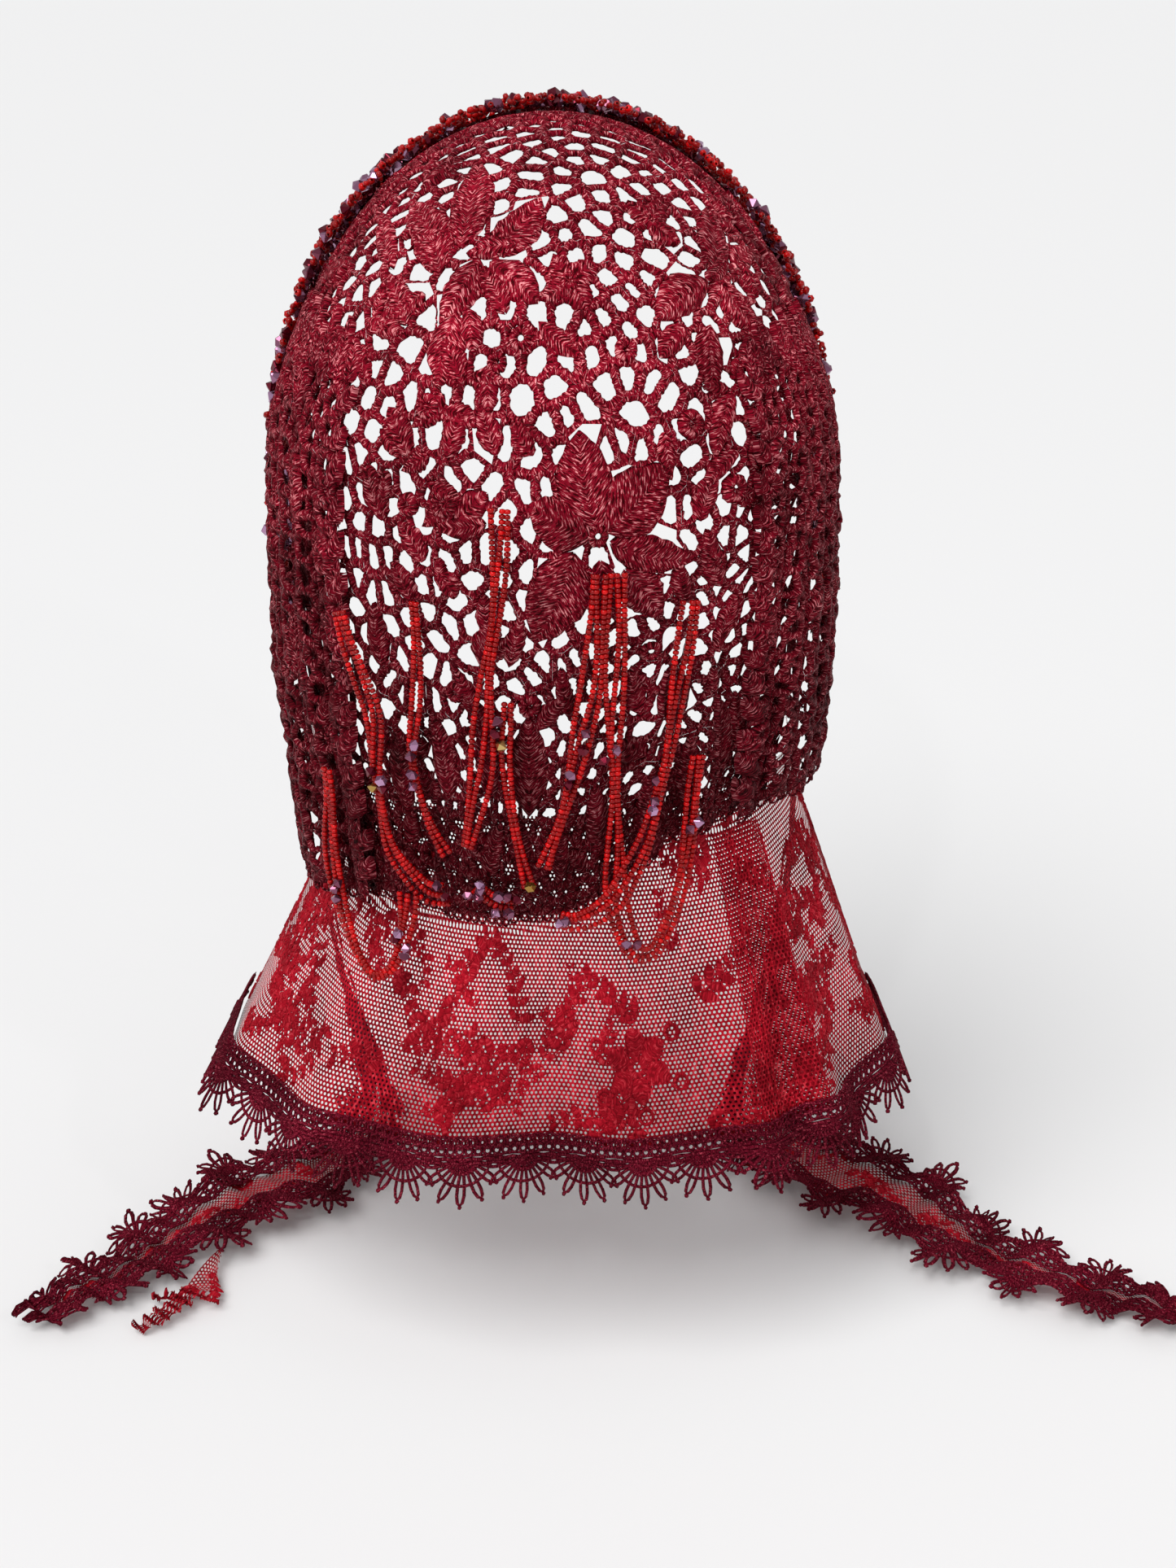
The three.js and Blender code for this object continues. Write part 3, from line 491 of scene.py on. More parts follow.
# %% Sample a curve through a few points
def through(spots, fine=40):
    """A smooth curve through the spots, and the length along it at each of its points."""
    spots = np.asarray(spots, float)
    ends = np.concatenate([[2 * spots[0] - spots[1]], spots, [2 * spots[-1] - spots[-2]]])
    pieces = []
    for a, b, c, d in zip(ends, ends[1:], ends[2:], ends[3:]):
        da, db, dc = (max(np.linalg.norm(q - p), 1e-6) ** 0.5 for p, q in ((a, b), (b, c), (c, d)))
        leave = ((b - a) / da - (c - a) / (da + db) + (c - b) / db) * db
        arrive = ((c - b) / db - (d - b) / (db + dc) + (d - c) / dc) * db
        t = (np.arange(fine) / fine)[:, None]
        square = 3 * (c - b) - 2 * leave - arrive
        cube = 2 * (b - c) + leave + arrive
        pieces.append(b + leave * t + square * t ** 2 + cube * t ** 3)
    curve = np.concatenate(pieces + [spots[-1:]])
    length = np.concatenate([[0], np.cumsum(np.linalg.norm(np.diff(curve, axis=0), axis=1))])
    return curve, length


def along_curve(curve, length, at):
    """The points of a curve at the lengths given."""
    return np.stack([np.interp(at, length, curve[:, k]) for k in range(3)], -1)


# %% Draw a cord
def cord(path, radius, sides=5, closed=False):
    """A round thread along a drawn path. Its stitching runs round it."""
    path = np.asarray(path, float)
    if path.shape[1] == 2:
        path = np.column_stack([path, np.zeros(len(path))])
    radius = radius * np.ones(len(path))
    if not closed:
        radius[[0, -1]] = 0.01
    ahead = np.roll(path, -1, 0) - np.roll(path, 1, 0) if closed else np.gradient(path, axis=0)
    ahead /= np.maximum(np.linalg.norm(ahead, axis=1), 1e-9)[:, None]
    guide = np.tile([0.0, 0.0, 1.0], (len(path), 1))
    side = np.cross(ahead, guide)
    side /= np.maximum(np.linalg.norm(side, axis=1), 1e-6)[:, None]
    up = np.cross(side, ahead)
    turn = np.arange(sides) / sides * 2 * np.pi
    around = side[:, None] * np.cos(turn)[:, None] + up[:, None] * np.sin(turn)[:, None]
    points = path[:, None] + around * radius[:, None, None]
    along = np.concatenate([[0], np.cumsum(np.linalg.norm(np.diff(path, axis=0), axis=1))])
    threads = np.stack(np.broadcast_arrays(along[:, None], turn[None, :] * radius[:, None]), -1)
    n = len(path)
    i, j = np.meshgrid(np.arange(n if closed else n - 1), np.arange(sides), indexing="ij")
    i, j = i.ravel(), j.ravel()
    k, m = (i + 1) % n, (j + 1) % sides
    faces = np.column_stack([i * sides + j, i * sides + m, k * sides + m, k * sides + j])
    return points.reshape(-1, 3), faces, threads.reshape(-1, 2)


# %% Copy a drawing to many places
def copies(part, offsets):
    points, faces, threads = part
    offsets = np.asarray(offsets, float)
    shifts = np.arange(len(offsets)) * len(points)
    return (
        (points[None] + offsets[:, None]).reshape(-1, 3),
        (faces[None] + shifts[:, None, None]).reshape(-1, faces.shape[1]),
        (threads[None] + np.arange(len(offsets))[:, None, None] * 7.3).reshape(-1, 2),
    )


def ring_faces(around, rings):
    """The faces between rings of points that follow each other, each with as many points."""
    i = np.arange(around)
    j = (i + 1) % around
    return np.concatenate([
        np.column_stack([r * around + i, r * around + j, (r + 1) * around + j, (r + 1) * around + i])
        for r in range(rings - 1)
    ])


# %% [markdown]
# ## Guipure ground
#
# The ground of the hood is a web of stitched bands with rounded openings, no two alike. A
# Voronoi pattern has that look: scattered points, each with the patch of cloth nearest to it.
# Blender has a Voronoi texture, but a texture can't be seen through, so the patches are worked
# out here from a Delaunay mesh of the points. Each patch then becomes a ring: the ridge that it
# shares with its neighbours, a shoulder, the lip of the opening, and the underside.

# %% Scatter the openings
SCATTER_BIN = 24


def scatter_openings(wide, long, spacing, stretch, seed):
    """Points at least one spacing apart, where stretch says how much wider openings are crowded."""
    random = np.random.default_rng(seed)
    tries = random.random((int(wide * long / 1.2), 2)) * (wide, long) - (wide / 2, 0)
    pitch = spacing(tries[:, 0], tries[:, 1])
    crowd = stretch(tries[:, 0], tries[:, 1])
    bins, kept = {}, []
    for (x, y), gap, squeeze in zip(tries, pitch, crowd):
        column, row = int(x // SCATTER_BIN), int(y // SCATTER_BIN)
        near = [k for i in (-1, 0, 1) for j in (-1, 0, 1) for k in bins.get((column + i, row + j), ())]
        if all(((x - a) * squeeze) ** 2 + ((y - b) / squeeze) ** 2 > gap * gap for a, b in near):
            bins.setdefault((column, row), []).append((x, y))
            kept.append((x, y))
    return np.array(kept)


# %% Give each opening its patch
MIRROR_REACH = 22


def with_mirrors(points, wide, long):
    """The points, and their mirror images outside the edges, which make the edges straight."""
    mirrors = [points]
    for axis, edge in ((0, -wide / 2), (0, wide / 2), (1, 0), (1, long)):
        close = points[np.abs(points[:, axis] - edge) < MIRROR_REACH].copy()
        close[:, axis] = 2 * edge - close[:, axis]
        mirrors.append(close)
    return np.concatenate(mirrors)


def patches_of(points, wide, long):
    """The patch of each point: its corners, and its neighbour across each side."""
    everything = with_mirrors(points, wide, long)
    _, _, triangles, *_ = delaunay_2d_cdt([Vector(p) for p in everything], [], [], 0, 1e-5)
    a, b, c = (everything[[t[k] for t in triangles]] for k in range(3))
    b, c = b - a, c - a
    twice = 2 * (b[:, 0] * c[:, 1] - b[:, 1] * c[:, 0])
    bb, cc = (b * b).sum(1), (c * c).sum(1)
    offset = np.stack([c[:, 1] * bb - b[:, 1] * cc, b[:, 0] * cc - c[:, 0] * bb], 1)
    middles = a + offset / twice[:, None]
    around = {}
    for t, corners in enumerate(triangles):
        for k in range(3):
            if corners[k] < len(points):
                around.setdefault(corners[k], []).append((t, corners[(k + 1) % 3]))
    patches = []
    for i, point in enumerate(points):
        found = around.get(i, [])
        spots = middles[[t for t, _ in found]]
        turn = np.argsort(np.arctan2(*(spots - point).T[::-1]))
        patches.append((i, spots[turn], [found[k][1] for k in turn]))
    return patches


# %% Round the opening inside a patch
RING_STEP = 1.5
RAGGED_LIP = 0.36


def rim_of(corners):
    """Points along the sides of a patch."""
    rim = []
    for start, end in zip(corners, np.roll(corners, -1, axis=0)):
        count = max(int(np.ceil(np.linalg.norm(end - start) / RING_STEP)), 1)
        rim.append(start + (end - start) * (np.arange(count) / count)[:, None])
    return np.concatenate(rim)


def opening_of(corners, half_bands, centre, ray, reach, random):
    """How far the opening goes along each ray, when every side keeps its half of the band."""
    side = np.roll(corners, -1, axis=0) - corners
    side_length = np.maximum(np.linalg.norm(side, axis=1), 1e-6)
    outward = np.stack([side[:, 1], -side[:, 0]], 1) / side_length[:, None]
    away = ((corners - centre) * outward).sum(1)
    outward, away = outward * np.sign(away)[:, None], np.abs(away)
    facing = np.maximum(ray @ outward.T, 1e-3)
    opening = np.min((away - half_bands)[None, :] / facing + 50 * (facing < 0.01), axis=1)
    opening = np.clip(opening, 0.12, reach * 0.92)
    for _ in range(2):
        opening = (np.roll(opening, 1) + 2 * opening + np.roll(opening, -1)) / 4
    return np.maximum(opening + random.uniform(-RAGGED_LIP, RAGGED_LIP, len(opening)), 0.1)


# %% Turn a patch into a ring of stitched band
LIP_LEVEL, UNDER_LEVEL = -0.25, -0.9


def ring_of(corners, half_bands, random, height):
    """One opening with its band: corners of the patch, half the band's width at each side."""
    rim = rim_of(corners)
    centre = rim.mean(0)
    ray = rim - centre
    reach = np.linalg.norm(ray, axis=1)
    ray = ray / np.maximum(reach, 1e-6)[:, None]
    opening = opening_of(corners, half_bands, centre, ray, reach, random)
    band = reach - opening
    n = len(rim)
    along = np.concatenate([[0], np.cumsum(np.linalg.norm(np.diff(rim, axis=0), axis=1))])
    along = along + random.uniform(0, 90)
    levels = [
        (reach, height), (opening + band * 0.5, height * 0.72), (opening, LIP_LEVEL),
        (opening + band * 0.25, UNDER_LEVEL),
    ]
    points = np.concatenate([
        np.column_stack([centre + ray * radius[:, None], np.full(n, level) + random.uniform(-0.1, 0.1, n)])
        for radius, level in levels
    ])
    threads = np.concatenate([np.column_stack([along, band * share]) for share in (0, 0.5, 1, 1.5)])
    faces = ring_faces(n, len(levels))
    area = 0.5 * np.sum(rim[:, 0] * np.roll(rim[:, 1], -1) - rim[:, 1] * np.roll(rim[:, 0], -1))
    if area > 0:
        faces = faces[:, ::-1]
    return points, faces, threads


# %% Stitch a whole ground
HASH_FIRST, HASH_SECOND, HASH_SPREAD = 12.9898, 78.233, 43758.5453


def share_of_pair(i, k):
    """A number from 0 to 1 that looks random, but is the same for both neighbours of a band."""
    return np.sin((min(i, k) + 1) * HASH_FIRST + max(i, k) * HASH_SECOND) * HASH_SPREAD % 1


def guipure_ground(wide, long, spacing, stretch, band, seed, height=0.7, covered=None):
    """Rings for every opening that is not covered by a leaf or a flower."""
    random = np.random.default_rng(seed + 1)
    points = scatter_openings(wide, long, spacing, stretch, seed)
    rings = []
    for i, corners, neighbours in patches_of(points, wide, long):
        x, y = points[i]
        if covered is not None and covered(x, y):
            continue
        low, high = band(x, y)
        shares = np.array([share_of_pair(i, k) for k in neighbours])
        rings.append(ring_of(corners, low + (high - low) * shares, random, height))
    print(len(rings), "openings")
    return rings


# %% [markdown]
# ## Leaves, petals and rosettes
#
# Flowers and leaves lie on the web as thick embroidered pads with a groove down the middle and
# ragged edges. Each is drawn flat as a pillow between a base and a tip. Their stitching runs
# slantwise from the groove to the edge, so the thread map is slanted too, which a plain
# projection could not do. Rosettes are small rings with stitches like the spokes of a wheel.

# %% Draw a leaf
def leaf_outline(p):
    """The share of its width that a leaf has, from its base at 0 to its tip at 1."""
    return np.sin(np.pi * p ** 0.85) ** 0.75


def leaf(base, tip, width, random, low=0.3, high=1.5, steps=16, across=8, ragged=0.42, slant=0.8):
    base, tip = np.asarray(base, float), np.asarray(tip, float)
    length = np.linalg.norm(tip - base)
    axis = (tip - base) / length
    side = np.array([-axis[1], axis[0]])
    p = np.linspace(0, 1, steps + 1)
    half = width / 2 * leaf_outline(p) + 0.15
    bend = random.uniform(-0.06, 0.06) * length * np.sin(np.pi * p)
    x = np.linspace(-1, 1, across + 1)
    edge = 1 + random.uniform(-ragged, ragged, (steps + 1, 2)) / np.maximum(half, 0.6)[:, None]
    reach = half[:, None] * x * np.where(x < 0, edge[:, :1], edge[:, 1:])
    place = base + axis * (p * length)[:, None]
    flat = place[:, None, :] + side * (reach + bend[:, None])[..., None]
    pillow = low + (high - low) * np.sqrt(np.clip(1 - x ** 2, 0, 1))
    groove = 0.45 * (high - low) * np.exp(-((x / 0.16) ** 2))
    height = (pillow - groove) * np.ones((steps + 1, 1))
    height = height + random.uniform(-0.1, 0.1, (steps + 1, across + 1))
    height[:, [0, -1]] = -0.5
    points = np.concatenate([flat.reshape(-1, 2), height.reshape(-1, 1)], 1)
    threads = np.column_stack([
        ((p * length)[:, None] - np.abs(reach) * slant).ravel(), np.abs(reach).ravel(),
    ]) + random.uniform(0, 90)
    i, j = np.meshgrid(np.arange(steps), np.arange(across), indexing="ij")
    a = (i * (across + 1) + j).ravel()
    return points, np.column_stack([a, a + 1, a + across + 2, a + across + 1])[:, ::-1], threads


# %% Draw a rosette
def rosette(centre, radius, random, hole=0.24, around=34, high=1.6):
    turn = np.linspace(0, 2 * np.pi, around, endpoint=False)
    ragged = 1 + random.uniform(-0.07, 0.07, around)
    rings = [(hole, 0.2), (hole + 0.1, high * 0.8), (0.62, high), (0.92, high * 0.5), (1.0, -0.5)]
    points, threads = [], []
    for share, height in rings:
        reach = radius * share * (ragged if share > 0.9 else 1)
        points.append(np.column_stack([
            centre[0] + reach * np.cos(turn), centre[1] + reach * np.sin(turn), np.full(around, height),
        ]))
        threads.append(np.column_stack([turn * radius * 0.7, np.full(around, radius * share)]))
    return np.concatenate(points), ring_faces(around, len(rings)), np.concatenate(threads)


# %% [markdown]
# ## Where the leaves lie
#
# The large leaves of the real hood stand in a few clusters that anyone would recognize, so they
# are listed one by one. Small leaves fill the sides and the hanging part, where the lace is
# closest, and nobody could tell those apart, so a seeded scatter places them.

# %% The large leaves and rosettes of the hood
# base, tip and width: places as shares of the hood's width and length, width in millimetres
HOOD_LEAVES = [
    (0.368, 0.333, 0.395, 0.222, 14.7), (0.412, 0.345, 0.489, 0.287, 14.2),
    (0.336, 0.355, 0.282, 0.247, 14.7), (0.399, 0.349, 0.337, 0.407, 12.6),
    (0.414, 0.354, 0.486, 0.395, 12.1), (0.363, 0.399, 0.335, 0.464, 13.2),
    (0.251, 0.331, 0.228, 0.234, 7.9), (0.283, 0.401, 0.248, 0.341, 9.5), (0.437, 0.404, 0.4, 0.359, 7.9),
    (0.31, 0.372, 0.25, 0.39, 7.9), (0.531, 0.375, 0.507, 0.349, 7.9), (0.531, 0.375, 0.573, 0.357, 8.9),
    (0.531, 0.375, 0.557, 0.402, 8.9), (0.531, 0.375, 0.493, 0.393, 7.9), (0.654, 0.298, 0.616, 0.281, 6.8),
    (0.654, 0.298, 0.7, 0.315, 9.5), (0.654, 0.298, 0.684, 0.258, 6.8), (0.764, 0.332, 0.75, 0.238, 12.6),
    (0.746, 0.347, 0.663, 0.402, 13.7), (0.771, 0.34, 0.861, 0.382, 14.2),
    (0.75, 0.396, 0.759, 0.462, 11.6), (0.836, 0.397, 0.894, 0.481, 11.6), (0.805, 0.31, 0.846, 0.25, 9.5),
    (0.708, 0.403, 0.668, 0.438, 8.4), (0.793, 0.459, 0.762, 0.524, 10), (0.88, 0.525, 0.848, 0.597, 9.5),
    (0.573, 0.586, 0.545, 0.503, 18.9), (0.585, 0.588, 0.681, 0.533, 20),
    (0.562, 0.591, 0.469, 0.565, 15.8), (0.537, 0.604, 0.478, 0.694, 21.1),
    (0.591, 0.597, 0.73, 0.621, 12.1), (0.614, 0.622, 0.677, 0.688, 13.7),
    (0.576, 0.612, 0.584, 0.684, 10.5), (0.345, 0.587, 0.323, 0.553, 11.6),
    (0.361, 0.58, 0.409, 0.555, 9.5), (0.332, 0.629, 0.356, 0.652, 8.9), (0.306, 0.62, 0.266, 0.585, 8.9),
    (0.283, 0.524, 0.251, 0.478, 9.5), (0.236, 0.587, 0.206, 0.533, 9.5), (0.278, 0.664, 0.247, 0.627, 7.9),
    (0.424, 0.524, 0.4, 0.483, 7.9), (0.478, 0.524, 0.446, 0.497, 6.8), (0.734, 0.585, 0.763, 0.54, 9.5),
    (0.781, 0.665, 0.749, 0.594, 10.5), (0.789, 0.752, 0.818, 0.683, 10.5),
    (0.722, 0.676, 0.701, 0.621, 7.4), (0.46, 0.885, 0.463, 0.772, 13.7), (0.519, 0.87, 0.574, 0.799, 7.9),
    (0.387, 0.866, 0.383, 0.773, 9.5), (0.316, 0.868, 0.295, 0.781, 11.6),
    (0.222, 0.899, 0.225, 0.808, 10.5), (0.271, 0.947, 0.251, 0.895, 9.5),
    (0.373, 0.955, 0.411, 0.888, 9.5), (0.609, 0.957, 0.577, 0.857, 10.5),
    (0.686, 0.982, 0.682, 0.875, 10.5), (0.52, 0.961, 0.52, 0.904, 8.9), (0.781, 0.973, 0.759, 0.856, 10.5),
    (0.848, 0.945, 0.801, 0.81, 10.5), (0.725, 0.848, 0.744, 0.776, 8.4), (0.904, 0.926, 0.849, 0.821, 9.5),
    (0.532, 0.774, 0.519, 0.72, 6.8), (0.435, 0.719, 0.457, 0.668, 6.8), (0.658, 0.805, 0.638, 0.739, 6.3),
    (0.369, 0.774, 0.348, 0.724, 5.8), (0.478, 0.79, 0.532, 0.748, 6.3), (0.207, 0.741, 0.205, 0.674, 8.9),
    (0.145, 0.967, 0.157, 0.892, 7.9), (0.648, 0.985, 0.689, 0.974, 7.9), (0.438, 0.973, 0.473, 0.938, 7.9),
]
# centre and radius
HOOD_ROSETTES = [
    (0.531, 0.375, 3), (0.654, 0.298, 2.8), (0.342, 0.566, 4.7), (0.573, 0.591, 3.4), (0.46, 0.426, 3.7),
    (0.615, 0.434, 3.7), (0.318, 0.481, 4.2), (0.802, 0.558, 5.3), (0.344, 0.75, 3.7), (0.425, 0.446, 3.2),
    (0.466, 0.763, 4.2), (0.664, 0.726, 3.7), (0.363, 0.919, 4.2), (0.768, 0.631, 4.7), (0.281, 0.569, 3.7),
    (0.719, 0.495, 4.7), (0.879, 0.665, 4.7),
]


def on_hood(across, down):
    return np.array([(across - 0.5) * HOOD_WIDE, down * HOOD_LONG])


# Small leaves fill the sides and the hanging part, where the lace is closest.
motif_random = np.random.default_rng(5)
all_leaves = [(on_hood(a, b), on_hood(c, d), w) for a, b, c, d, w in HOOD_LEAVES]
for k in range(150):
    spot = on_hood(*motif_random.uniform((0.03, 0.1), (0.97, 0.97)))
    share, down = spot[0] / HOOD_WIDE + 0.5, spot[1] / HOOD_LONG
    filled = (abs(share - 0.5) > 0.27) or down > 0.78 or (share < 0.42 and down > 0.25)
    if not filled and k % 5:
        continue
    turn = motif_random.normal(-math.pi / 2, 0.5) if down > 0.6 else motif_random.uniform(0, 2 * np.pi)
    long = motif_random.uniform(9, 17)
    tip = spot + long * np.array((math.cos(turn), math.sin(turn)))
    if abs(tip[0]) < HOOD_WIDE / 2 and 8 < tip[1] < HOOD_LONG:
        all_leaves.append((spot, tip, long * motif_random.uniform(0.4, 0.58)))
leaf_base = np.array([a for a, b, w in all_leaves])
leaf_run = np.array([b - a for a, b, w in all_leaves])
leaf_half = np.array([w / 2 for a, b, w in all_leaves])
rosette_at = np.array([on_hood(a, b) for a, b, r in HOOD_ROSETTES])
print(len(all_leaves), "leaves and", len(HOOD_ROSETTES), "rosettes")


TUCKED_UNDER = 2.4


def under_motif(x, y):
    """Whether a place lies so far under a leaf that its opening can't be seen."""
    offset = np.array((x, y)) - leaf_base
    t = np.clip((offset * leaf_run).sum(1) / (leaf_run ** 2).sum(1), 0, 1)
    apart = np.linalg.norm(offset - leaf_run * t[:, None], axis=1)
    return bool(np.any(apart < leaf_half * leaf_outline(t) - TUCKED_UNDER))


# %% [markdown]
# ## The hood
#
# The openings are wide and low over the crown, larger behind the head, and crowded into tall
# slots where the lace hangs in gathers. One function gives the spacing, one the crowding and one
# the width of the bands, so the change is gradual, as in real cloth that is pulled together by
# its own weight. The hood is one cloth, but it is made in two pieces, because a very dense mesh
# is slow to edit. A row of small loops finishes its hem.

# %% Vary the openings over the hood
def hood_spacing(x, y):
    v = y / HOOD_LONG
    return np.interp(v, [0, 0.1, 0.3, 0.5, 0.62, 0.78, 0.88, 1], [5.6, 6.6, 7.2, 7.2, 7, 6.8, 5.2, 4.6])


def hood_crowding(x, y):
    v, u = y / HOOD_LONG, x / HOOD_WIDE + 0.5
    slots = 0.5 * np.exp(-((u - 0.61) / 0.05) ** 2 - ((v - 0.4) / 0.09) ** 2)
    return np.interp(v, [0, 0.18, 0.3, 0.42, 0.6, 0.75, 1], [0.68, 0.76, 0.98, 1.26, 1.3, 1.4, 1.2]) + slots


def hood_band(x, y):
    v = y / HOOD_LONG
    down = [0, 0.12, 0.28, 0.48, 0.6, 0.78, 0.88, 1]
    low = np.interp(v, down, [1.4, 1.15, 1.15, 1.15, 1.0, 1.1, 1.5, 1.5])
    high = np.interp(v, down, [2.2, 2.1, 2.3, 2.25, 1.95, 2.0, 2.3, 2.3])
    return low, high


# %% Draw the loops of a hem
def hem_loops(wide, long, pitch, radius, thick):
    """A row of small thread loops that hang below the edge y = long."""
    t = np.linspace(0, 2 * np.pi, 10, endpoint=False)
    loop = cord(np.column_stack([radius * np.cos(t), radius * 1.15 * np.sin(t)]), thick, 4, True)
    count = int(wide / pitch)
    down = long + radius * 0.8
    return copies(loop, [(-wide / 2 + (k + 0.5) * wide / count, down, 0) for k in range(count)])


# %% Build the hood
# where the two pieces meet, and how far the lace sinks below its form
HOOD_SEAM, HOOD_SINK = HOOD_LONG * 0.56, 0.8


def half_of_hood(down):
    return "crown" if down < HOOD_SEAM else "drape"


halves = {"crown": [], "drape": []}
for ring in guipure_ground(
    HOOD_WIDE, HOOD_LONG, hood_spacing, hood_crowding, hood_band, 11, 0.7, under_motif,
):
    halves[half_of_hood(ring[0][:, 1].mean())].append(ring)
for base, tip, width in all_leaves:
    part = leaf(base, tip, width, motif_random, high=motif_random.uniform(1.1, 1.8))
    halves[half_of_hood(base[1])].append(part)
for place, (_, _, radius) in zip(rosette_at, HOOD_ROSETTES):
    halves[half_of_hood(place[1])].append(rosette(place, radius, motif_random, high=2.1))
halves["drape"].append(hem_loops(HOOD_WIDE, HOOD_LONG, 3.6, 1.5, 0.45))
for name, top, bottom, held in (
    ("crown", 0, HOOD_SEAM, "draped"), ("drape", HOOD_SEAM, HOOD_LONG, "gathered"),
):
    flat, faces, threads = gather_parts(halves[name])
    piece = add_piece(
        f"hood_{name}_lace", lay(hood_form, flat - (0, 0, HOOD_SINK)), faces, threads, guipure_thread,
        "guipure_lace", ["crown_lace"],
    )
    declare_sheet(piece, hood_form, (-HOOD_WIDE / 2, top), (HOOD_WIDE / 2, bottom))

# %% [markdown]
# ## The side lace
#
# Over each side of the hood lies a second lace, denser and gathered, with small round openings.
# It is made by the same helpers with a closer spacing and wider bands. Its top thins out on the
# hood: the last leaves reach past the edge and lie flat there, so no cut edge shows.

# %% Build the side lace
SIDE_LIFT, SIDE_RUN_IN = 2.4, 26
SIDE_SPACING, SIDE_CROWDING, SIDE_BANDS = 5.3, 1.16, (1.1, 2.1)


def side_lift(points):
    """Lift the lace off the hood, more and more from its top edge down."""
    lift = 0.2 + SIDE_LIFT * np.clip(points[:, 1] / SIDE_RUN_IN, 0, 1)
    return points + np.column_stack([0 * points[:, :2], lift])


def everywhere(value):
    return lambda x, y: value + 0 * x


for name, sign, seed in (("left", -1, 21), ("right", 1, 31)):
    random = np.random.default_rng(seed)
    spots = random.uniform((-0.47, 0.03), (0.47, 0.96), (33 - 4 * sign, 2)) * (SIDE_WIDE, SIDE_LONG)
    round_ones = np.arange(len(spots)) % 3 == 0
    parts = guipure_ground(
        SIDE_WIDE, SIDE_LONG, everywhere(SIDE_SPACING), everywhere(SIDE_CROWDING),
        lambda x, y: SIDE_BANDS, seed, 0.8,
        lambda x, y: bool(np.any(np.hypot(spots[:, 0] - x, spots[:, 1] - y)[round_ones] < 2.4)),
    )
    for spot, is_round in zip(spots, round_ones):
        if is_round:
            parts.append(rosette(spot, random.uniform(3.6, 5.6), random, 0.34, 22))
        else:
            turn = random.normal(-math.pi / 2, 0.7)
            long = random.uniform(11, 19)
            tip = spot + np.array((np.cos(turn), np.sin(turn))) * long
            parts.append(leaf(spot, tip, long * random.uniform(0.36, 0.5), random, steps=12, across=6))
    for x in np.arange(-SIDE_WIDE / 2 + 3, SIDE_WIDE / 2, 6.5):
        base = (x, random.uniform(5, 10))
        tip = (x + random.uniform(-5, 5), random.uniform(-12, -2))
        parts.append(leaf(base, tip, random.uniform(7, 9.5), random, steps=12, across=6))
    for y in np.arange(16, SIDE_LONG - 2, 11):
        base = (-sign * (SIDE_WIDE / 2 - 4), y)
        tip = (-sign * (SIDE_WIDE / 2 + random.uniform(2.5, 5)), y + random.uniform(-12, -6))
        parts.append(leaf(base, tip, random.uniform(6, 8.5), random, steps=12, across=6))
    parts.append(hem_loops(SIDE_WIDE, SIDE_LONG, 4, 1.6, 0.5))
    flat, faces, threads = gather_parts(parts)
    piece = add_piece(
        f"side_lace_{name}_stitched", lay(side_form(sign), side_lift(flat)), faces, threads,
        side_thread, "guipure_lace", [f"side_lace_{name}"],
    )
    declare_sheet(
        piece, side_form(sign), (-SIDE_WIDE / 2, -6), (SIDE_WIDE / 2, SIDE_LONG),
    )

# %% [markdown]
# ## The front band
#
# A narrow, closely stitched band runs over the head from ear to ear and carries the beads. It
# is the same guipure with small openings, laid on the arch of the front edge.

# %% Build the front band
BAND_LONG, BAND_DEEP, BAND_LIFT = 4 * ARCH_QUARTER, 13.4, 1.7
parts = guipure_ground(
    BAND_LONG, BAND_DEEP, everywhere(4.3), everywhere(1), lambda x, y: (0.8, 1.3), 41, 0.5,
)
flat, faces, threads = gather_parts(parts)
front_band = add_piece(
    "front_band_lace", lay(arch_form, flat + (0, 0, BAND_LIFT)), faces, threads, side_thread,
    "guipure_lace", ["front_band"],
)
declare_sheet(
    front_band, arch_form, (-BAND_LONG / 2, 0), (BAND_LONG / 2, BAND_DEEP),
)

# %% [markdown]
# ## Beads and crystals
#
# The cap has round seed beads of clear red glass with a silver lining, faceted bicone crystals
# of dark garnet glass with a lilac coating, and a few of old gold. Each kind is one small
# lathed shape. Copying it by numpy into one joined mesh is quick and keeps the file small;
# Geometry Nodes could instance the beads too, but the instances would have to be realized in
# the end.

# %% Shape a bead and a crystal
def lathe(profile, sides):
    """Rings round the Z axis from (height, radius) pairs."""
    turn = np.arange(sides) / sides * 2 * np.pi
    points = np.concatenate([
        np.column_stack([radius * np.cos(turn), radius * np.sin(turn), np.full(sides, height)])
        for height, radius in profile
    ])
    return points, ring_faces(sides, len(profile))


seed_shape = lathe([(-0.72, 0.4), (-0.56, 0.88), (0, 1.08), (0.56, 0.88), (0.72, 0.4)], 6)
crystal_shape = lathe([
    (-1.7, 0.25), (-1.35, 0.65), (-0.12, 1.85), (0.12, 1.85), (1.35, 0.65), (1.7, 0.25),
], 6)
print("a seed bead is", 2 * 1.08, "mm across, a crystal", 2 * 1.85)


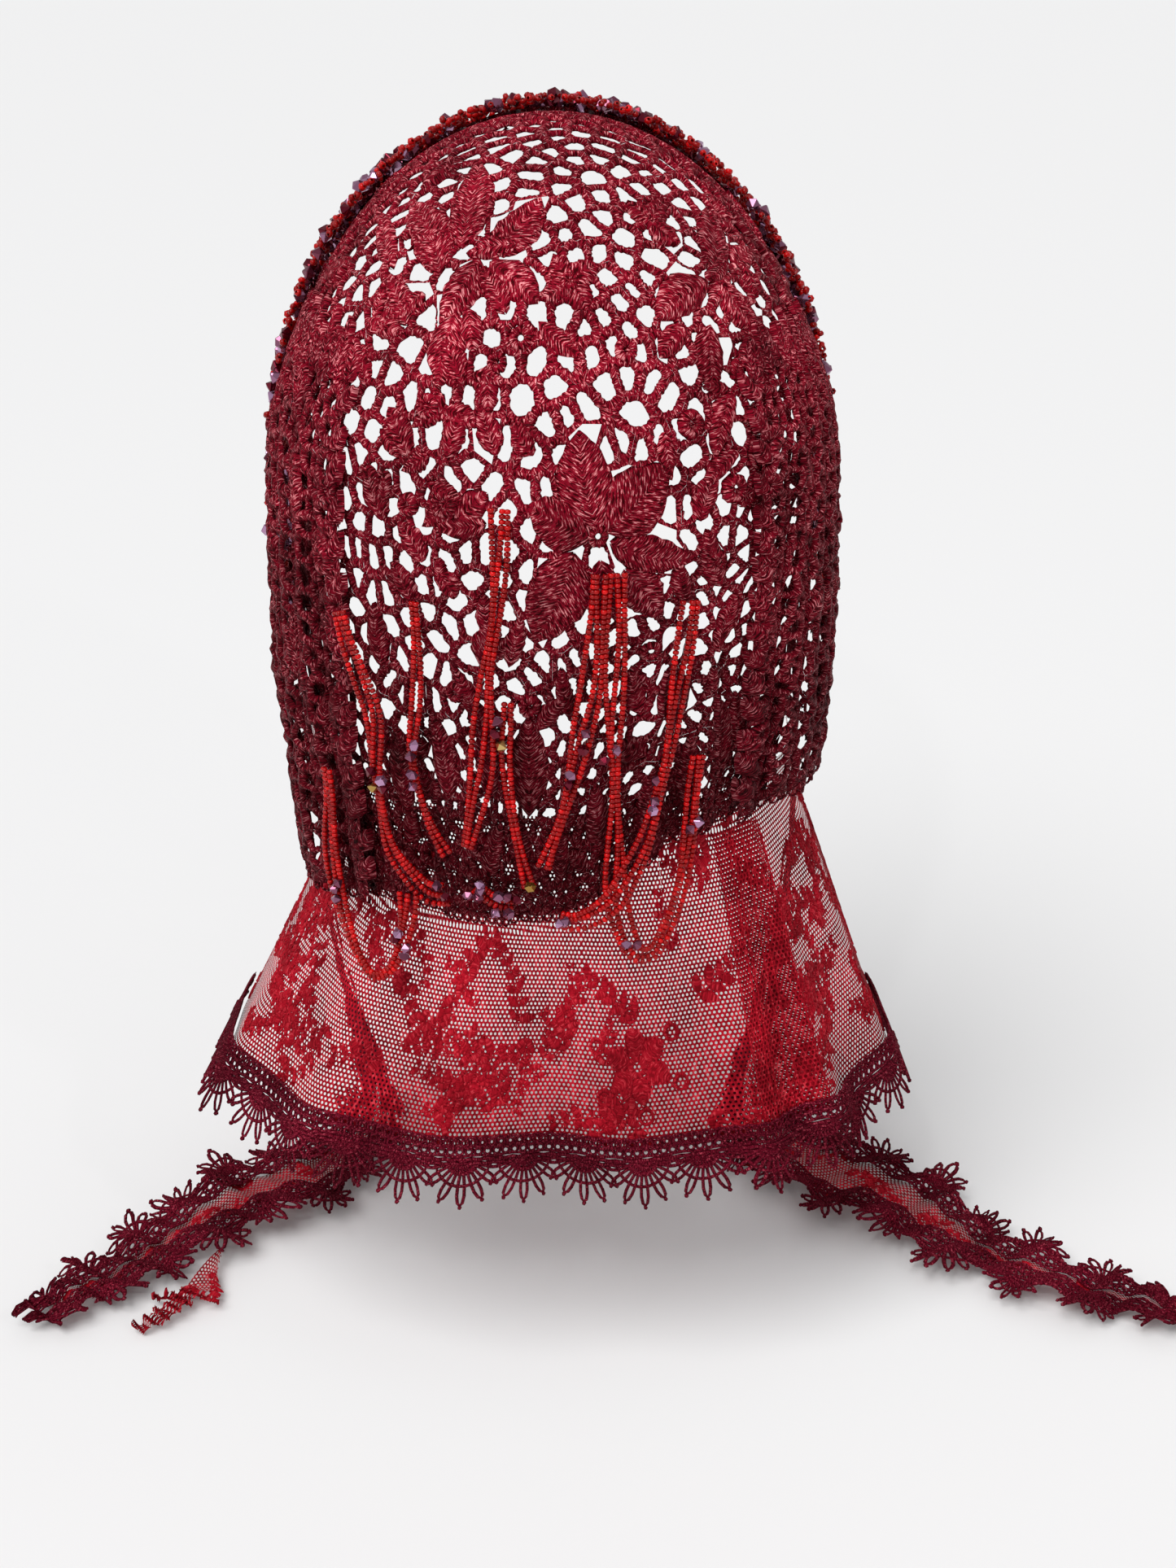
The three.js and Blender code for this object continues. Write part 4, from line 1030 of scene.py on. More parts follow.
# %% Place many copies of one bead
def string_of(shape, places, directions, sizes, random):
    """Copies of one bead with their holes along the directions given."""
    points, faces = shape
    ahead = directions / np.maximum(np.linalg.norm(directions, axis=1), 1e-9)[:, None]
    guide = np.where(np.abs(ahead[:, 2:]) > 0.9, (1.0, 0.0, 0.0), (0.0, 0.0, 1.0))
    side = np.cross(ahead, guide)
    side /= np.linalg.norm(side, axis=1)[:, None]
    spin = random.uniform(0, 2 * np.pi, len(places))[:, None]
    other = np.cross(ahead, side)
    side, other = side * np.cos(spin) + other * np.sin(spin), other * np.cos(spin) - side * np.sin(spin)
    frames = np.stack([side, other, ahead], 1) * np.asarray(sizes)[:, None, None]
    placed = places[:, None] + np.einsum("pk,nkc->npc", points, frames)
    shifts = np.arange(len(places)) * len(points)
    shade = np.repeat(random.uniform(0, 90, (len(places), 2)), len(points), axis=0)
    return placed.reshape(-1, 3), (faces[None] + shifts[:, None, None]).reshape(-1, 4), shade


# %% [markdown]
# ## Glass
#
# Beads of one batch differ a little in tone, and a few catch more light. A noise gives each bead
# a tone of its own between a dark and a bright one. Real glass would need many bounces of light
# in beads this small, so the paint is a glossy one with a clear coat.

# %% Make the glass paints
def bead_paint(name, dark, bright, metal, roughness):
    """Each bead has one random place on its thread map, so a noise there gives each its own tone."""
    paint, shader = new_paint(name)
    nodes, links = paint.node_tree.nodes, paint.node_tree.links
    place = nodes.new("ShaderNodeUVMap")
    place.uv_map = "thread"
    tone = nodes.new("ShaderNodeTexNoise")
    tone.inputs["Scale"].default_value = 0.9
    links.new(place.outputs["UV"], tone.inputs["Vector"])
    shade = nodes.new("ShaderNodeValToRGB")
    low, high = shade.color_ramp.elements
    low.position, low.color = 0.47, (*dark, 1)
    high.position, high.color = 0.66, (*bright, 1)
    links.new(tone.outputs["Fac"], shade.inputs["Fac"])
    links.new(shade.outputs["Color"], shader.inputs["Base Color"])
    shader.inputs["Metallic"].default_value = metal
    shader.inputs["Roughness"].default_value = roughness
    shader.inputs["Specular IOR Level"].default_value = 0.1
    shader.inputs["Coat Weight"].default_value = 0.3
    shader.inputs["Coat Roughness"].default_value = 0.03
    return paint


red_glass = bead_paint("red_glass", (0.26, 0.0005, 0.001), (0.66, 0.003, 0.004), 0.0, 0.3)
garnet_glass = bead_paint("garnet_glass", (0.13, 0.002, 0.015), (0.5, 0.28, 0.46), 0.8, 0.06)
gold_glass = bead_paint("gold_glass", (0.35, 0.2, 0.04), (0.7, 0.5, 0.2), 0.9, 0.15)

# %% [markdown]
# ## Beads of the front edge
#
# The beads are sewn to the band in dense clusters, seeds and crystals mixed, so that the edge
# looks knobbly against the light. They are scattered in a layer a few millimetres thick, and a slow
# wave along the edge decides where the crystals crowd. Behind the band, at both shoulders of the
# crown, the beads run on over the lace and thin out. A few short bead sticks stand off at the
# sides, and gold crystals sit at six places.

# %% Scatter beads along the front edge
STICKS = (-128, -118, -104, -96, 112)
GOLD_SPOTS = ((-128, 6), (-93, 3), (-90, 6), (-18, 4), (18, 5), (104, 8))
EDGE_HALF, EDGE_TRIES, SPILL_SHARE = 196, 6200, 0.42
SHOULDERS, SHOULDER_SPREAD, LEFT_SHOULDER = (-92, -78, 92), 20, -50
SPILL_START, SPILL_END = 12, 44
edge_random = np.random.default_rng(61)
tried = np.column_stack([
    edge_random.uniform(-EDGE_HALF, EDGE_HALF, EDGE_TRIES), edge_random.uniform(0.8, 12.6, EDGE_TRIES),
    2.9 + 4.2 * edge_random.random(EDGE_TRIES) ** 1.5,
])
spill = edge_random.random(EDGE_TRIES) < SPILL_SHARE
shoulder = edge_random.choice(SHOULDERS, EDGE_TRIES)
shoulder = shoulder + edge_random.normal(0, SHOULDER_SPREAD, EDGE_TRIES)
shoulder = np.where(edge_random.random(EDGE_TRIES) < 0.45, tried[:, 0], shoulder)
tried[spill, 0] = shoulder[spill]
reach_back = np.where(shoulder < LEFT_SHOULDER, 14, 8)
tried[spill, 1] = (SPILL_START + reach_back * np.abs(edge_random.normal(0, 1, EDGE_TRIES)))[spill]
tried[spill, 2] = 3.7 + 1.6 * edge_random.random(EDGE_TRIES)[spill] ** 2

# %% Keep the beads that have room
LEAST_SQUARE, EDGE_BIN = 4.9, 4


def has_room(x, y, height, near):
    return all((x - a) ** 2 + (y - b) ** 2 + (1.4 * (height - h)) ** 2 > LEAST_SQUARE for a, b, h in near)


bins, edge_flat = {}, []
for x, y, height in tried:
    cell = int(x // EDGE_BIN)
    near = [p for k in (cell - 1, cell, cell + 1) for p in bins.get(k, ())]
    if y < SPILL_END and has_room(x, y, height, near):
        bins.setdefault(cell, []).append((x, y, height))
        edge_flat.append((x, y, height))
edge_flat = np.array(edge_flat)
print(len(edge_flat), "beads on the front edge")

# %% Choose the crystals, the sticks and the gold
x, y, height = edge_flat.T
crowd = np.sin(x / 11) + 0.6 * np.sin(x / 4.7 + 2)
is_crystal = (crowd + edge_random.normal(0, 0.8, len(edge_flat)) > 0.4) & (y < 17)
is_crystal &= height > 3.2
stray_share = np.where(x < LEFT_SHOULDER, 0.3, 0.08)
is_crystal |= (y > 14) & (edge_random.random(len(edge_flat)) < stray_share)
gold_flat = np.array([
    (x + 1.9 * k, y + 1.5 * (k % 2), 6.4 + 1.2 * (k % 2)) for x, y in GOLD_SPOTS for k in range(3)
])
STICK_BEADS = 4
stick_flat = np.array([(x, 5.5, 4.2 + 1.55 * k) for x in STICKS for k in range(STICK_BEADS)])
print(is_crystal.sum(), "of the beads are crystals")

# %% Sew the beads on
edge_places = lay(arch_form, edge_flat)
edge_turns = edge_random.normal(0, 1, (len(edge_flat), 3))
stick_places = lay(arch_form, stick_flat)
stick_turns = stick_places[STICK_BEADS - 1::STICK_BEADS] - stick_places[::STICK_BEADS]
places = np.concatenate([edge_places[~is_crystal], stick_places])
turns = np.concatenate([edge_turns[~is_crystal], np.repeat(stick_turns, STICK_BEADS, 0)])
sizes = edge_random.uniform(1.05, 1.35, len(places))
add_piece(
    "front_seed_beads", *string_of(seed_shape, places, turns, sizes, edge_random), red_glass,
    "seed_beads", ["front_beads"],
)
places, turns = edge_places[is_crystal], edge_turns[is_crystal]
sizes = edge_random.uniform(1.15, 1.5, is_crystal.sum())
add_piece(
    "front_crystals", *string_of(crystal_shape, places, turns, sizes, edge_random), garnet_glass,
    "seed_beads", smooth=False,
)
places = lay(arch_form, gold_flat)
turns = edge_random.normal(0, 1, (len(gold_flat), 3))
sizes = np.full(len(gold_flat), 0.85)
add_piece(
    "front_gold_beads", *string_of(crystal_shape, places, turns, sizes, edge_random), gold_glass,
    "seed_beads", smooth=False,
)

# %% [markdown]
# ## Net
#
# The flap and the middle of the ties are fine net, with six-sided holes under two millimetres
# across. Transparency in the material would be cheaper, but from near by it looks like tinted
# film. Here each side of each hole is a narrow ribbon, so the net can be seen through, and where
# it folds over itself it really gets denser.

# %% Draw a net
def net(left, right, top, bottom, pitch, thread):
    """Three sides of each hole, so that the holes share the rest."""
    side = pitch / math.sqrt(3)
    rows = int((bottom - top) / (1.5 * side)) + 1
    columns = int((right - left) / pitch) + 1
    i, j = np.meshgrid(np.arange(columns), np.arange(rows))
    middle = np.stack([left + (i + 0.5 * (j % 2)) * pitch, top + j * 1.5 * side], -1).reshape(-1, 2)
    corner = np.array([(0.5, -0.5 / math.sqrt(3)), (0.5, 0.5 / math.sqrt(3)), (0, 1 / math.sqrt(3)),
                       (-0.5, 0.5 / math.sqrt(3))]) * pitch
    quads = []
    for a, b in ((0, 1), (1, 2), (2, 3)):
        start, end = corner[a], corner[b]
        across = np.array([-(end - start)[1], (end - start)[0]])
        across *= thread / 2 / np.linalg.norm(across)
        ribbon = np.stack([start - across, end - across, end + across, start + across])
        quads.append(middle[:, None] + ribbon)
    flat = np.concatenate(quads).reshape(-1, 2)
    points = np.column_stack([flat, np.zeros(len(flat))])
    return points, np.arange(len(points)).reshape(-1, 4), flat * 0.5


# %% [markdown]
# ## The net flap
#
# The flap hangs from inside the hem and flares to its trim. Woven into the net are sprays of
# small leaves on thin stems, a little denser than the ground, and one large open flower low on
# the right, with a small ring beyond each petal. They are thin shapes that lie close on the net.
# Near the right edge the flap is laid in narrow upright pleats, where two layers of net make it
# redder.

# %% Build the flap
FLAP_TOP, FLAP_SINK, NET_PITCH = -118, 4.1, 1.75
STEM_STEP = 3.1
net_random = np.random.default_rng(71)


def spray(x, y, heading, stops, random, size=1.0):
    """A bent stem with small leaves on both sides."""
    parts, stem = [], [(x, y)]
    bend = random.uniform(-0.25, 0.25)
    for k in range(stops):
        heading += bend + random.uniform(-0.2, 0.2)
        x, y = x + STEM_STEP * size * np.cos(heading), y + STEM_STEP * size * np.sin(heading)
        stem.append((x, y))
        for side in (-1, 1):
            turn = heading + side * random.uniform(0.6, 1.1)
            long = size * random.uniform(2.6, 5.4) * (1 - 0.4 * k / stops)
            tip = (x + long * np.cos(turn), y + long * np.sin(turn))
            parts.append(leaf((x, y), tip, long * 0.5, random, 0.15, 0.35, 5, 3, 0.3, 0.4))
    parts.append(cord(np.array(stem), 0.35, 4))
    return parts


def inside_flap(part, top):
    x, y = part[0][:, 0], part[0][:, 1]
    return np.abs(x).max() < FLAP_WIDE / 2 - 1 and y.max() < 0 and y.min() > top


sprays = []
for left, right, top, low, count in (
    (-196, -60, -105, -8, 44), (-60, 60, -70, -8, 24), (60, 150, -95, -8, 20), (150, 196, -100, -8, 14),
):
    for _ in range(count):
        spot = net_random.uniform((left, top), (right, low))
        sprays += spray(
            *spot, net_random.uniform(0, 2 * np.pi), net_random.integers(5, 9), net_random,
            net_random.uniform(1.1, 1.9),
        )
flower = (34.0, -30.0)
for k in range(6):
    turn = k * np.pi / 3 + 0.4
    ray = np.array((np.cos(turn), np.sin(turn)))
    sprays += [
        leaf(flower + 3 * ray, flower + 14 * ray, 9, net_random, 0.15, 0.3, 8, 4, 0.3, 0.4),
        rosette(flower + 18 * ray, 3.4, net_random, 0.55, 16, 0.4),
    ]
sprays.append(rosette(flower, 4.2, net_random, 0.4, 18, 0.5))
sprays = [part for part in sprays if inside_flap(part, FLAP_TOP + 6)]
flap_net = net(-FLAP_WIDE / 2, FLAP_WIDE / 2, FLAP_TOP, 0, NET_PITCH, 0.82)
flat, faces, threads = gather_parts([flap_net] + sprays)
flap = add_piece(
    "flap_net", lay(flap_form, flat - (0, 0, FLAP_SINK)), faces, threads, net_thread, "net_lace",
    ["neck_flap"],
)
declare_sheet(
    flap, flap_form, (-FLAP_WIDE / 2, FLAP_TOP), (FLAP_WIDE / 2, 0),
)

# %% Lay the pleats at the right of the flap
PLEATS_LEFT, PLEATS_RIGHT, PLEATS_TOP, PLEATS_END, PLEATS_SINK = 78, 105, -104, -2, 3.1
pleat_parts = [net(PLEATS_LEFT, PLEATS_RIGHT, PLEATS_TOP, PLEATS_END, NET_PITCH, 0.6)]
for across in (PLEATS_LEFT, 84.5, 87, 93, 96, PLEATS_RIGHT):
    fold = np.array([(across + 0.8 * math.sin(down / 23), down) for down in range(PLEATS_TOP, -1, 6)])
    pleat_parts.append(cord(fold, 0.45, 4))
flat, faces, threads = gather_parts(pleat_parts)
pleats = add_piece(
    "flap_pleats", lay(flap_form, flat - (0, 0, PLEATS_SINK)), faces, threads, net_thread, "net_lace",
    ["neck_flap"],
)
declare_sheet(
    pleats, flap_form, (PLEATS_LEFT, PLEATS_TOP), (PLEATS_RIGHT, PLEATS_END),
)


# %% [markdown]
# ## Looped trims
#
# The hem of the flap and both edges of each tie carry a dark cotton trim. It has a header of
# small rings between cords, and below it one fan of looped petals after another, each petal
# with a small knot at its tip. One fan is drawn once, and then copied along the header.

# %% Draw the trim
PETAL_TURNS = (-76, -52, -26, 0, 26, 52, 76)
# share of the reach, and thickness, of the arcs that hold the petals together
FAN_ARCS = ((0.07, 1.1), (0.19, 1.1), (0.31, 1.0), (0.56, 0.6))


def fan_of_petals(reach, radius=0.6):
    parts = []
    for turn in np.radians(PETAL_TURNS):
        long = reach * (0.72 + 0.28 * np.cos(turn)) - 1.2
        t = np.linspace(0, 2 * np.pi, 12, endpoint=False)
        out = 3.2 + (long - 3.2) * (1 - np.cos(t)) / 2
        wide = 1.75 * np.sin(t) * (0.3 + 0.7 * (1 - np.cos(t)) / 2)
        loop = np.column_stack([
            out * np.sin(turn) + wide * np.cos(turn), out * np.cos(turn) - wide * np.sin(turn),
        ])
        parts.append(cord(loop, radius, 4, True))
        knot = lathe([(-0.8, 0.01), (-0.45, 0.75), (0.45, 0.75), (0.8, 0.01)], 5)
        tip = np.array(((long + 0.6) * np.sin(turn), (long + 0.6) * np.cos(turn), 0))
        parts.append((knot[0] + tip, knot[1], knot[0][:, :2] * 1.5))
    t = np.linspace(-1.35, 1.35, 10)
    for share, thick in FAN_ARCS:
        arc = np.column_stack([share * reach * np.sin(t), share * reach * np.cos(t)])
        parts.append(cord(arc, thick, 4))
    return gather_parts(parts)


# %% Draw a whole trim
ROW_STEP, CORD_STEP = 3, 2.4


def looped_trim(long, fans, reach, rows=2, pitch=3.3, start=0.0):
    """Rings and cords along a header above the line y = 0, and fans below it."""
    parts = [copies(fan_of_petals(reach), [
        (start + long * (k + 0.5) / fans, 0.2, 0.1 * (-1) ** k) for k in range(fans)
    ])]
    count = int(long / pitch)
    t = np.linspace(0, 2 * np.pi, 9, endpoint=False)
    ring = cord(np.column_stack([1.25 * np.cos(t), 1.25 * np.sin(t)]), 0.55, 4, True)
    x = np.linspace(start, start + long, int(long / CORD_STEP))
    for row in range(rows):
        parts.append(copies(ring, [
            (start + (k + 0.5 * (row % 2)) * long / count, -1.9 - ROW_STEP * row, 0) for k in range(count)
        ]))
        wave = np.full(len(x), -0.4 - ROW_STEP * row) + 0.25 * np.sin(x * 2.1)
        parts.append(cord(np.column_stack([x, wave]), 0.55, 4))
    for down, thick in ((-0.6 - ROW_STEP * rows, 0.5), (0.9, 0.75), (2.3, 0.7)):
        parts.append(cord(np.column_stack([x, down + 0.3 * np.sin(x * 1.3 + down)]), thick, 4))
    return gather_parts(parts)


# %% Trim the flap
FLAP_FANS, FLAP_REACH, HEADER = 18, 18, 7
flat, faces, threads = looped_trim(FLAP_WIDE, FLAP_FANS, FLAP_REACH, start=-FLAP_WIDE / 2)
flap_trim = add_piece(
    "flap_looped_trim", lay(flap_form, flat + (0, 1.2, -1.9)), faces, threads, trim_thread, "dark_trim",
    ["flap_trim"],
)
declare_sheet(
    flap_trim, flap_form, (-FLAP_WIDE / 2, -HEADER), (FLAP_WIDE / 2, FLAP_REACH),
)

# %% [markdown]
# ## The ties
#
# Two ties hang from the ends of the band, inside the flap, and then lie crumpled on the table.
# Each is a strip of net between two trims that narrows to a point. Its form is a strip along
# a curve, with a width and a heading of its own at each place.

# %% The courses of the ties
# outwards, ahead, rise over the table, half width and heading, at each place along the tie
RIGHT_TIE = (150, [
    (0.012, 0.031, 0.854, 0.39, 86), (0.005, 0.105, 0.569, 0.71, 78), (-0.035, 0.171, 0.285, 0.87, 66),
    (-0.055, 0.178, 0.083, 0.94, 56), (-0.001, 0.085, 0.016, 0.97, 50), (0.152, -0.089, 0.026, 1, 48),
    (0.292, -0.222, 0.041, 0.97, 47), (0.405, -0.342, 0.031, 0.87, 45), (0.525, -0.462, 0.021, 0.74, 50),
    (0.672, -0.562, 0.026, 0.65, 60), (0.819, -0.635, 0.016, 0.55, 66), (0.932, -0.675, 0.016, 0.35, 70),
    (1, -0.695, 0.01, 0.1, 72),
])
LEFT_TIE = (111, [
    (0.034, 0.042, 0.827, 0.39, 86), (0.016, 0.15, 0.532, 0.65, 78), (-0.056, 0.241, 0.26, 0.74, 64),
    (-0.092, 0.232, 0.071, 0.77, 52), (-0.011, 0.06, 0.018, 0.84, 48), (0.169, -0.174, 0.035, 0.94, 46),
    (0.35, -0.336, 0.053, 0.9, 50), (0.521, -0.489, 0.035, 0.81, 44), (0.656, -0.651, 0.024, 0.68, 42),
    (0.791, -0.786, 0.024, 0.55, 45), (0.899, -0.886, 0.018, 0.42, 48), (0.998, -0.967, 0.012, 0.1, 48),
])

# %% The form of a tie
BAND_MIDDLE = BAND_DEEP / 2


def strip_form(start, reach, rows, widest, sign):
    """A strip along a curve: its length, its half width, and its points in space."""
    x, y, rise = start
    table = np.array([(x, y, rise, BAND_MIDDLE / widest, 90)] + [
        (x + reach * out, y + reach * ahead, rise * up, half, heading)
        for out, ahead, up, half, heading in rows
    ])
    curve, length = through(table[:, :3])
    share = np.linspace(0, 1, len(curve))
    mark = np.linspace(0, 1, len(table))

    def half_width(along):
        return widest * np.interp(np.interp(along, length, share), mark, table[:, 3])

    def point(along, across):
        at = np.interp(along, length, share)
        middle = [np.interp(along, length, curve[:, k]) for k in range(3)]
        heading = np.radians(np.interp(at, mark, table[:, 4]))
        lies = np.clip((at - 0.25) * 6, 0, 1)
        crumple = 1.6 * np.sin(at * 52 + across * 0.11) + 1.1 * np.sin(at * 131 - across * 0.17) + 1.0
        aside = across + 1.5 * np.sin(at * 47) * lies
        return np.stack([
            sign * (middle[0] + aside * np.cos(heading)), middle[1] + aside * np.sin(heading),
            middle[2] - TABLE_DROP + crumple * lies,
        ], -1)
    return length[-1], half_width, point


# %% Build the ties
TIE_HALF, TIE_TRIM, TIE_LEAST = 31, 22, 1.2
TIE_NET_HALF, TIE_NET_SHARE, TIE_NET_LAP = 16, 0.96, 4
TIE_FANS, TIE_REACH, TIE_TRIM_LIFT = 15, 14.6, 2.6
for name, sign, (reach, rows) in (("left", -1, LEFT_TIE), ("right", 1, RIGHT_TIE)):
    end = arch_form(np.array([sign * BAND_LONG / 2]), np.array([BAND_MIDDLE]))[0]
    start = (abs(end[0]) + 0.8, end[1], end[2] + TABLE_DROP - 0.8)
    long, half_width, point = strip_form(start, reach, rows, TIE_HALF, sign)

    def inner_half(x):
        return np.maximum(half_width(x) - TIE_TRIM, TIE_LEAST)

    def net_of_tie(x, y):
        return point(x, -sign * y * (inner_half(x) + TIE_NET_LAP) / TIE_NET_HALF)

    random = np.random.default_rng(81)
    net_long = long * TIE_NET_SHARE
    parts = [net(0, net_long, -TIE_NET_HALF, TIE_NET_HALF, 1.7, 0.72)]
    for along in np.arange(70, long * 0.9, 14):
        parts += spray(along, random.uniform(-9, 9), random.uniform(0, 2 * np.pi), 5, random, 1.35)
    flat, faces, threads = gather_parts(parts)
    tie_net = add_piece(
        f"tie_{name}_fine_net", lay(net_of_tie, flat + (0, 0, 0.6)), faces, threads, net_thread,
        "net_lace", [f"tie_{name}_net"],
    )
    declare_sheet(
        tie_net, net_of_tie, (0, -TIE_NET_HALF), (net_long, TIE_NET_HALF),
    )
    parts = []
    for edge in (-1, 1):
        def edge_of_tie(x, y):
            inner = inner_half(x)
            full = np.maximum(half_width(x), inner + 2)
            return point(x, -sign * edge * (inner + (y + HEADER) / TIE_TRIM * (full - inner)))

        flat, faces, threads = looped_trim(long, TIE_FANS, TIE_REACH)
        lifted = flat * (1, 1, edge) + (0, 0, edge * TIE_TRIM_LIFT)
        parts.append((lay(edge_of_tie, lifted), faces, threads))
    points, faces, threads = gather_parts(parts)
    tie_trim = add_piece(
        f"tie_{name}_looped_trim", points, faces, threads, trim_thread, "dark_trim", [f"tie_{name}_trim"],
    )
    declare_sheet(
        tie_trim, edge_of_tie, (0, -HEADER), (long, 15), strips=2,
    )
    print(name, "tie is", round(long), "mm long")

# %% [markdown]
# ## The torn scrap
#
# Beside the left tie lies a narrow scrap of torn net with two sprays. It is a strip like a tie,
# so the same form and the same net make it, only narrower and without a trim.

# %% Build the scrap of net beside the left tie
SCRAP_START, SCRAP_HALF = (125.5, -38.5, 5.2), 5
SCRAP = (47, [
    (0.117, -0.34, 0.59, 1, 15), (0.223, -0.553, 0.78, 0.6, 30), (0.372, -0.702, 0.59, 0.8, 40),
    (0.543, -0.83, 0.29, 0.3, 50),
])
scrap_long, scrap_half, scrap_point = strip_form(SCRAP_START, *SCRAP, SCRAP_HALF, -1)
flat, faces, threads = gather_parts([
    net(0, scrap_long, -SCRAP_HALF, SCRAP_HALF, 1.5, 0.62),
    *spray(4, -2, 0.1, 7, np.random.default_rng(83)),
    *spray(14, 2, 0.0, 7, np.random.default_rng(84)),
])


def scrap_form(x, y):
    return scrap_point(x, y * scrap_half(x) / SCRAP_HALF)


scrap = add_piece(
    "torn_scrap", lay(scrap_form, flat + (0, 0, 0.6)), faces, threads, net_thread, "net_lace",
    ["net_scrap"],
)
declare_sheet(
    scrap, scrap_form, (0, -SCRAP_HALF), (scrap_long, SCRAP_HALF),
)

# %% [markdown]
# ## The bead swags
#
# Bundles of two or three strings hang over the back of the hood in loops, each string a row of
# seed beads with crystals where the strings meet. A string takes the course of its bundle, and
# its neighbours run beside it a bead's width away.

# %% The courses of the swags
# angle from the back, drop, share over the side lace, bundles crossed; and the count of strings
SWAGS = {
    "swag_1": (3, [
        (-48.2, 196, 0.8, 0), (-47.9, 206, 0.9, 0), (-48.4, 222, 1.12, 0), (-48.4, 239, 1.05, 0),
        (-45.9, 252.5, 0.8, 0), (-40.6, 261.4, 0.5, 0), (-36.4, 265, 0.5, 0), (-33.2, 261, 0.5, 0),
        (-31.5, 251.4, 0.5, 0), (-30.2, 240, 0.5, 0), (-30, 233, 0.4, 0),
    ]),
    "swag_2": (3, [
        (-40.6, 136.7, 1, 0), (-38.4, 146.4, 1, 0), (-35.7, 157.4, 0.9, 0), (-33.8, 169, 0.7, 0),
        (-33.8, 188, 0.6, 0), (-33.6, 204, 0.5, 0), (-32.7, 217.8, 0.3, 0), (-29.8, 226, 0.2, 0),
        (-25.8, 232, 0.1, 0), (-20.6, 230.6, 0, 0),
    ]),
    "swag_3": (2, [
        (-25.9, 130, 0, 0), (-25.8, 146, 0, 0), (-26.2, 165, 0, 0), (-27.1, 183, 0, 0), (-26.3, 196, 0, 0),
        (-24.4, 208, 0, 0), (-20.6, 217.5, 0, 0),
    ]),
    "swag_4": (3, [
        (-8.8, 98, 0, 0), (-9, 114, 0, 0), (-10, 132.5, 0, 0), (-11.6, 151, 0, 0), (-12.4, 168, 0, 0),
        (-13.1, 184, 0, 0), (-14.4, 196, 0, 0), (-16.4, 212, 0, 0),
    ]),
    "swag_5": (2, [
        (-8, 160, 0, 0), (-8.2, 170, 0, 0), (-8.3, 179, 0, 0), (-7.3, 199, 0, 0), (-6, 215, 0, 0),
        (-4.6, 226, 0, 0),
    ]),
    "swag_6": (3, [(-15.2, 226.4, 0, 0), (-11.4, 232, 0, 0), (-7.2, 233.5, 0, 0)]),
    "swag_7": (3, [
        (9.1, 118, 0, 0), (8.6, 137.7, 0, 0), (7.6, 156.4, 0, 0), (5.8, 171, 0, 0), (3.9, 186.7, 0, 0),
        (2.1, 199.6, 0, 0), (0, 211, 0, 0), (-1.6, 219.5, 0, 0),
    ]),
    "swag_8": (3, [
        (12.6, 118, 0, 0), (12.5, 138, 0, 0), (12.1, 157, 0, 0), (11.9, 176, 0, 0), (12.5, 195, 0, 0),
        (12.8, 213, 0, 0), (13, 229, 0.1, 0), (14.3, 241.5, 0.3, 0), (16.6, 249.4, 0.4, 0),
        (19.4, 249.2, 0.4, 0), (22.2, 242, 0.3, 0), (25.1, 231.8, 0.3, 0), (27.7, 221, 0.2, 0),
        (28.1, 207.6, 0.1, 0), (28.5, 193, 0, 0), (29.1, 181.5, 0, 0),
    ]),
    "swag_9": (3, [
        (27.2, 130, 0, 0), (26, 146, 0, 0), (24.1, 163, 0, 0), (22.3, 180.6, 0, 0), (20.2, 195.6, 0, 0.1),
        (17.8, 207.8, 0, 0.7), (14.6, 218.5, 0, 1.3), (11.8, 226.6, 0, 1.4), (8.5, 233, 0, 0.9),
        (4.6, 236.6, 0, 0.3), (1.3, 235.6, 0, 0.2),
    ]),
}


SWAG_LIFT, SIDE_STEP, OVER_STEP = 3.1, 5.5, 5.1


def swag_spot(angle, drop, side, over):
    """A point of a swag's course, lifted off the lace and off the bundles that it crosses."""
    angle, drop = np.array([float(angle)]), np.array([float(drop)])
    below = drop >= hem_drop(angle) + FLAP_TUCK
    point = np.where(below[:, None], flap_point(angle, drop), body_point(angle, drop))[0]
    a = math.radians(angle[0])
    lift = SWAG_LIFT + SIDE_STEP * side + OVER_STEP * over
    return point + np.array((math.sin(a), -math.cos(a), 0)) * lift


# %% Thread the swags
BEAD_PITCH, STRING_GAP = 1.62, 2.15
swag_random = np.random.default_rng(91)
for number, (name, (count, course)) in enumerate(SWAGS.items()):
    curve, length = through([swag_spot(*stop) for stop in course])
    bead_at = np.arange(0.8, length[-1] - 0.8, BEAD_PITCH)
    middle = along_curve(curve, length, bead_at)
    ahead = np.gradient(middle, axis=0)
    ahead /= np.linalg.norm(ahead, axis=1)[:, None]
    outward = middle * (1, 1, 0)
    outward /= np.linalg.norm(outward, axis=1)[:, None]
    beside = np.cross(ahead, outward)
    beside /= np.linalg.norm(beside, axis=1)[:, None]
    parts = []
    for k in range(count):
        offset = (k - (count - 1) / 2) * STRING_GAP
        offset = offset * (1 + 0.35 * np.sin(bead_at / 17 + number))
        drift = 0.7 * np.sin(bead_at / 11 + 2.1 * k + number)
        ripple = 0.25 * np.cos(bead_at / 9 + k)
        places = middle + beside * (offset + drift)[:, None] + outward * ripple[:, None]
        sizes = swag_random.uniform(0.96, 1.06, len(places))
        parts.append(string_of(seed_shape, places, ahead, sizes, swag_random))
    add_piece(f"{name}_beads", *gather_parts(parts), red_glass, "seed_beads", [name])
    print(name, "is", round(length[-1]), "mm long, with", count, "strings")

